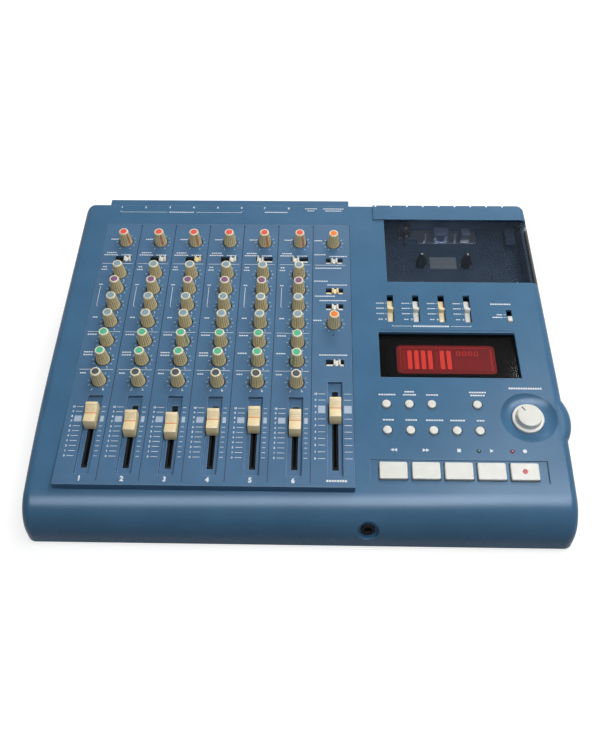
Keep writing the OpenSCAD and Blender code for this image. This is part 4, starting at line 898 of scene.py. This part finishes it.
def paintFaces(name, finish, *boxes):
    # gives the faces of a node whose middle lies in a box of deck mm another finish; a box is
    # (x0, x1, v0, v1, w0, w1) and a slope by which w1 rises for each mm up the deck from v1
    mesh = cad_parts[name].data
    middle = np.empty(len(mesh.polygons) * 3)
    mesh.polygons.foreach_get("center", middle)
    middle = middle.reshape(-1, 3) * 1000 - [deck["x"], deck["y"], deck["z"]]
    x = middle[:, 0]
    v = middle[:, 1] * tiltCos + middle[:, 2] * tiltSin
    w = -middle[:, 1] * tiltSin + middle[:, 2] * tiltCos
    chosen = np.zeros(len(x), bool)
    for x0, x1, v0, v1, w0, w1, *slope in boxes:
        top = w1 + (v - v1) * slope[0] if slope else w1
        chosen |= (x > x0) & (x < x1) & (v > v0) & (v < v1) & (w > w0) & (w < top)
    number = np.empty(len(mesh.polygons), np.int32)
    mesh.polygons.foreach_get("material_index", number)
    number[chosen] = len(mesh.materials)
    mesh.materials.append(plastics[finish])
    mesh.polygons.foreach_set("material_index", number)


far = math.inf
lampFoot = fallAt(33.0)[0] - 6
faceBoxes = [
    # headphone socket and low voltage inlet, black, with painted shade in their mouths
    ("jack_sockets", "slotBlack", (-far, far, -far, 40, -far, far), (246, 262, -far, far, -far, far)),
    # block between the spindles
    ("cassette_well", "padGrey", (305.4, 330.6, 236.8, 251.2, -21.9, -20)),
    # right and front edges of the lid, where light passes along the sheet
    ("cassette_door", "smokedEdge", (396.2, far, -far, far, -far, far), (-far, far, -far, 202.6, -far, far)),
    # left wall of the well, painted near-black as shade
    ("cassette_well", "slotBlack", (-far, 261.9, -far, far, -far, far)),
    # walls of the key openings, under the sloping floor of their recess, painted near-black as the shade
    # round the keys
    ("top_case", "slotBlack", (243, 374, 8.1, 23.7, -far, -6.9 + (23.7 - 15.9) * 0.108, 0.108)),
    # middle head and the guide beside it
    ("head_bridge", "headGrey", (311.4, 324.6, 269, far, -17.5, far), (336.9, 345.1, 272, far, -17.5, far)),
    # lamps over the play and record keys
    ("circuit_boards", "lampGreen", (323.9, 327.1, 31.2, 34.8, lampFoot, far)),
    ("circuit_boards", "lampRed", (349.7, 352.9, 31.2, 34.8, lampFoot, far)),
]
for name, finish, *boxes in faceBoxes:
    paintFaces(name, finish, *boxes)
print("finishes done")

# reel spindles: three fins on a sleeve, over a flat drive disc
spindle = {"x": {"takeup_spindle": 296.75, "supply_spindle": 339.25}, "v": 243.8, "fins": 3}
for name, x in spindle["x"].items():
    shape = Shape("markBlack", "nickel")
    fin = lambda t: 1 - np.clip(np.cos(spindle["fins"] * t) * 1.6 - 0.6, 0, 1)
    profile = [(14.6, -34.8, 0), (15.0, -34.6, 0), (15.0, -31.0, 0), (14.6, -30.8, 0), (3.0, -30.8, 0),
               (3.0, -25.9, 0), (4.4, -25.8, 0), (4.4, -19.8, 0), (5.1, -19.6, 0.8), (5.2, -18.0, 0.9),
               (4.3, -15.0, 0.7), (3.2, -11.6, 0.5), (2.1, -9.2, 0.3), (1.5, -8.6, 0)]
    shape.loft(circleRings(profile, 72, fin), at(x, spindle["v"]), "markBlack")
    shape.loft(circleRings([(1.1, -8.9), (1.15, -8.55), (0.9, -8.1), (0.45, -7.9)], 24),
               at(x, spindle["v"]), "nickel")
    shape.make(name + "Splined", name, name)
print("spindles done")

# upright bars behind the rear vents, whose tops follow the slope 0.3 mm under the deck
vent = {"first": 253.5, "pitch": 15.2, "wide": 1.6, "deep": 2.6, "count": 9, "y": 291.7, "foot": 69.6,
        "top": 91.96, "topY": 294.354}
shape = Shape("caseBlue", "slotBlack")
for k in range(vent["count"]):
    x = vent["first"] + k * vent["pitch"] + vent["wide"] / 2
    ring = slabRings((vent["wide"] / 2, vent["deep"] / 2), 0.05, [(0, 0), (0, 0)], 1)
    ring[:, :, 0] += x
    ring[:, :, 1] += vent["y"]
    ring[0, :, 2] = vent["foot"]
    ring[1, :, 2] = vent["top"] + (ring[1, :, 1] - vent["topY"]) * tiltSin / tiltCos
    up = ring[:, :, 2] - deck["z"]
    bar = np.stack([ring[:, :, 0], ring[:, :, 1] * tiltCos + up * tiltSin,
                    -ring[:, :, 1] * tiltSin + up * tiltCos], -1)
    # painted shade: each bar's sides and foot are near-black, its top keeps the case blue
    shape.loft(bar, lambda q: q, "slotBlack", ("slotBlack", "caseBlue"))
shape.make("rearVentLouvres", "case")
print("rear vents done")

# camera, solved from the photograph: the place is in deck mm, the three turns are in radians
shot = {"focal": 772.87, "frameHigh": 750, "sensor": 36.0, "place": (197.399, -256.484, 527.839),
        "pitch": 0.97631645, "yaw": 0.03380515, "roll": -0.01803945}
# the rows of axes are the camera's right, down and ahead, in directions of the deck
cp, sp = math.cos(shot["pitch"]), math.sin(shot["pitch"])
forward = np.array([0, cp, -sp])
side = np.array([1.0, 0, 0])
axes = np.stack([side, np.cross(forward, side), forward])
cy, sy = math.cos(shot["yaw"]), math.sin(shot["yaw"])
cr, sr = math.cos(shot["roll"]), math.sin(shot["roll"])
rollTurn = np.array([[cr, -sr, 0], [sr, cr, 0], [0, 0, 1]])
yawTurn = np.array([[cy, -sy, 0], [sy, cy, 0], [0, 0, 1]])
axes = rollTurn @ axes @ yawTurn.T
turn = np.array([[1, 0, 0], [0, tiltCos, -tiltSin], [0, tiltSin, tiltCos]])
right, down, ahead = (turn @ a for a in axes)
lensData = bpy.data.cameras.new("camera")
lensData.sensor_fit = "VERTICAL"
lensData.sensor_height = shot["sensor"]
lensData.lens = shot["focal"] / shot["frameHigh"] * shot["sensor"]
lensData.clip_start = 0.01
camera = bpy.data.objects.new("camera", lensData)
scene.collection.objects.link(camera)
place = toBody(shot["place"])
rows = np.column_stack([right, -down, -ahead, place])
camera.matrix_world = Matrix([*rows.tolist(), [0, 0, 0, 1]])
scene.camera = camera

# area lamps in metres and watts; the front card is seen in reflections only, as the soft shine
# along the round nose, and adds nothing to matt faces
lamps = {
    "rearLamp": {"spot": (0.5, 1.9, 1.35), "aim": (0.05, 0, 0), "size": (1.6, 0.8), "watts": 26.0,
                 "tone": "#FFFEFC", "fills": True},
    "topLamp": {"spot": (0.4, -0.2, 1.3), "aim": (0.05, -0.1, 0), "size": (1.7, 0.18), "watts": 12.5,
                "tone": "#FFFFFF", "fills": True},
    "frontCard": {"spot": (0.15, -0.5, 1.2), "aim": (0.0, -0.15, 0), "size": (2.2, 0.5), "watts": 84.0,
                  "tone": "#EAF3FF", "fills": False},
}
for name, s in lamps.items():
    data = bpy.data.lights.new(name, "AREA")
    data.shape = "RECTANGLE"
    data.size, data.size_y = s["size"]
    data.energy = s["watts"]
    data.color = colour(s["tone"])[:3]
    lampObject = bpy.data.objects.new(name, data)
    scene.collection.objects.link(lampObject)
    lampObject.location = s["spot"]
    gaze = Vector(s["aim"]) - Vector(s["spot"])
    lampObject.rotation_euler = gaze.to_track_quat("-Z", "Y").to_euler()
    lampObject.visible_diffuse = s["fills"]


def backgroundRays(owner):
    # 1 for the rays that see the pale background: camera, glossy and transmission
    rays = addNode(owner, "ShaderNodeLightPath")
    pair = addNode(owner, "ShaderNodeMath", {"operation": "MAXIMUM"},
                   {0: rays.outputs["Is Glossy Ray"], 1: rays.outputs["Is Transmission Ray"]})
    return addNode(owner, "ShaderNodeMath", {"operation": "MAXIMUM"},
                   {0: rays.outputs["Is Camera Ray"], 1: pair.outputs[0]})


# a dim room for matt faces, and the white page for every ray that sees the background
room = {"tone": "#F3F6FA", "strength": 0.17}
world = bpy.data.worlds.new("world")
scene.world = world
world.use_nodes = True
world.node_tree.nodes.clear()
seen = backgroundRays(world)
fill = addNode(world, "ShaderNodeBackground",
               {"Color": colour(room["tone"]), "Strength": room["strength"]})
white = addNode(world, "ShaderNodeBackground", {"Color": (1, 1, 1, 1), "Strength": 1.0})
both = addNode(world, "ShaderNodeMixShader", {},
               {0: seen.outputs[0], 1: fill.outputs[0], 2: white.outputs[0]})
addNode(world, "ShaderNodeOutputWorld", {}, {"Surface": both.outputs[0]})

# matt white card, whose own white is topped up for the camera so that only the shadow shows;
# it throws little light back up at the object
paper = {"half": 6, "card": 0.45, "glow": 0.74, "bounce": 0.06}
floorMat = startMaterial("paperFloor")
card = addNode(floorMat, "ShaderNodeBsdfDiffuse", {"Color": (*[paper["card"]] * 3, 1)})
dim = addNode(floorMat, "ShaderNodeBsdfDiffuse", {"Color": (*[paper["bounce"]] * 3, 1)})
glow = addNode(floorMat, "ShaderNodeEmission", {"Color": (1, 1, 1, 1), "Strength": paper["glow"]})
top = addNode(floorMat, "ShaderNodeAddShader", {}, {0: card.outputs[0], 1: glow.outputs[0]})
pick = addNode(floorMat, "ShaderNodeMixShader", {},
               {0: backgroundRays(floorMat).outputs[0], 1: dim.outputs[0], 2: top.outputs[0]})
endMaterial(floorMat, pick.outputs[0])
mesh = bpy.data.meshes.new("floor")
h = paper["half"]
mesh.from_pydata([(-h, -h, 0), (h, -h, 0), (h, h, 0), (-h, h, 0)], [], [[0, 1, 2, 3]])
mesh.materials.append(floorMat)
floor = bpy.data.objects.new("floor", mesh)
scene.collection.objects.link(floor)
print("camera, light and floor done")
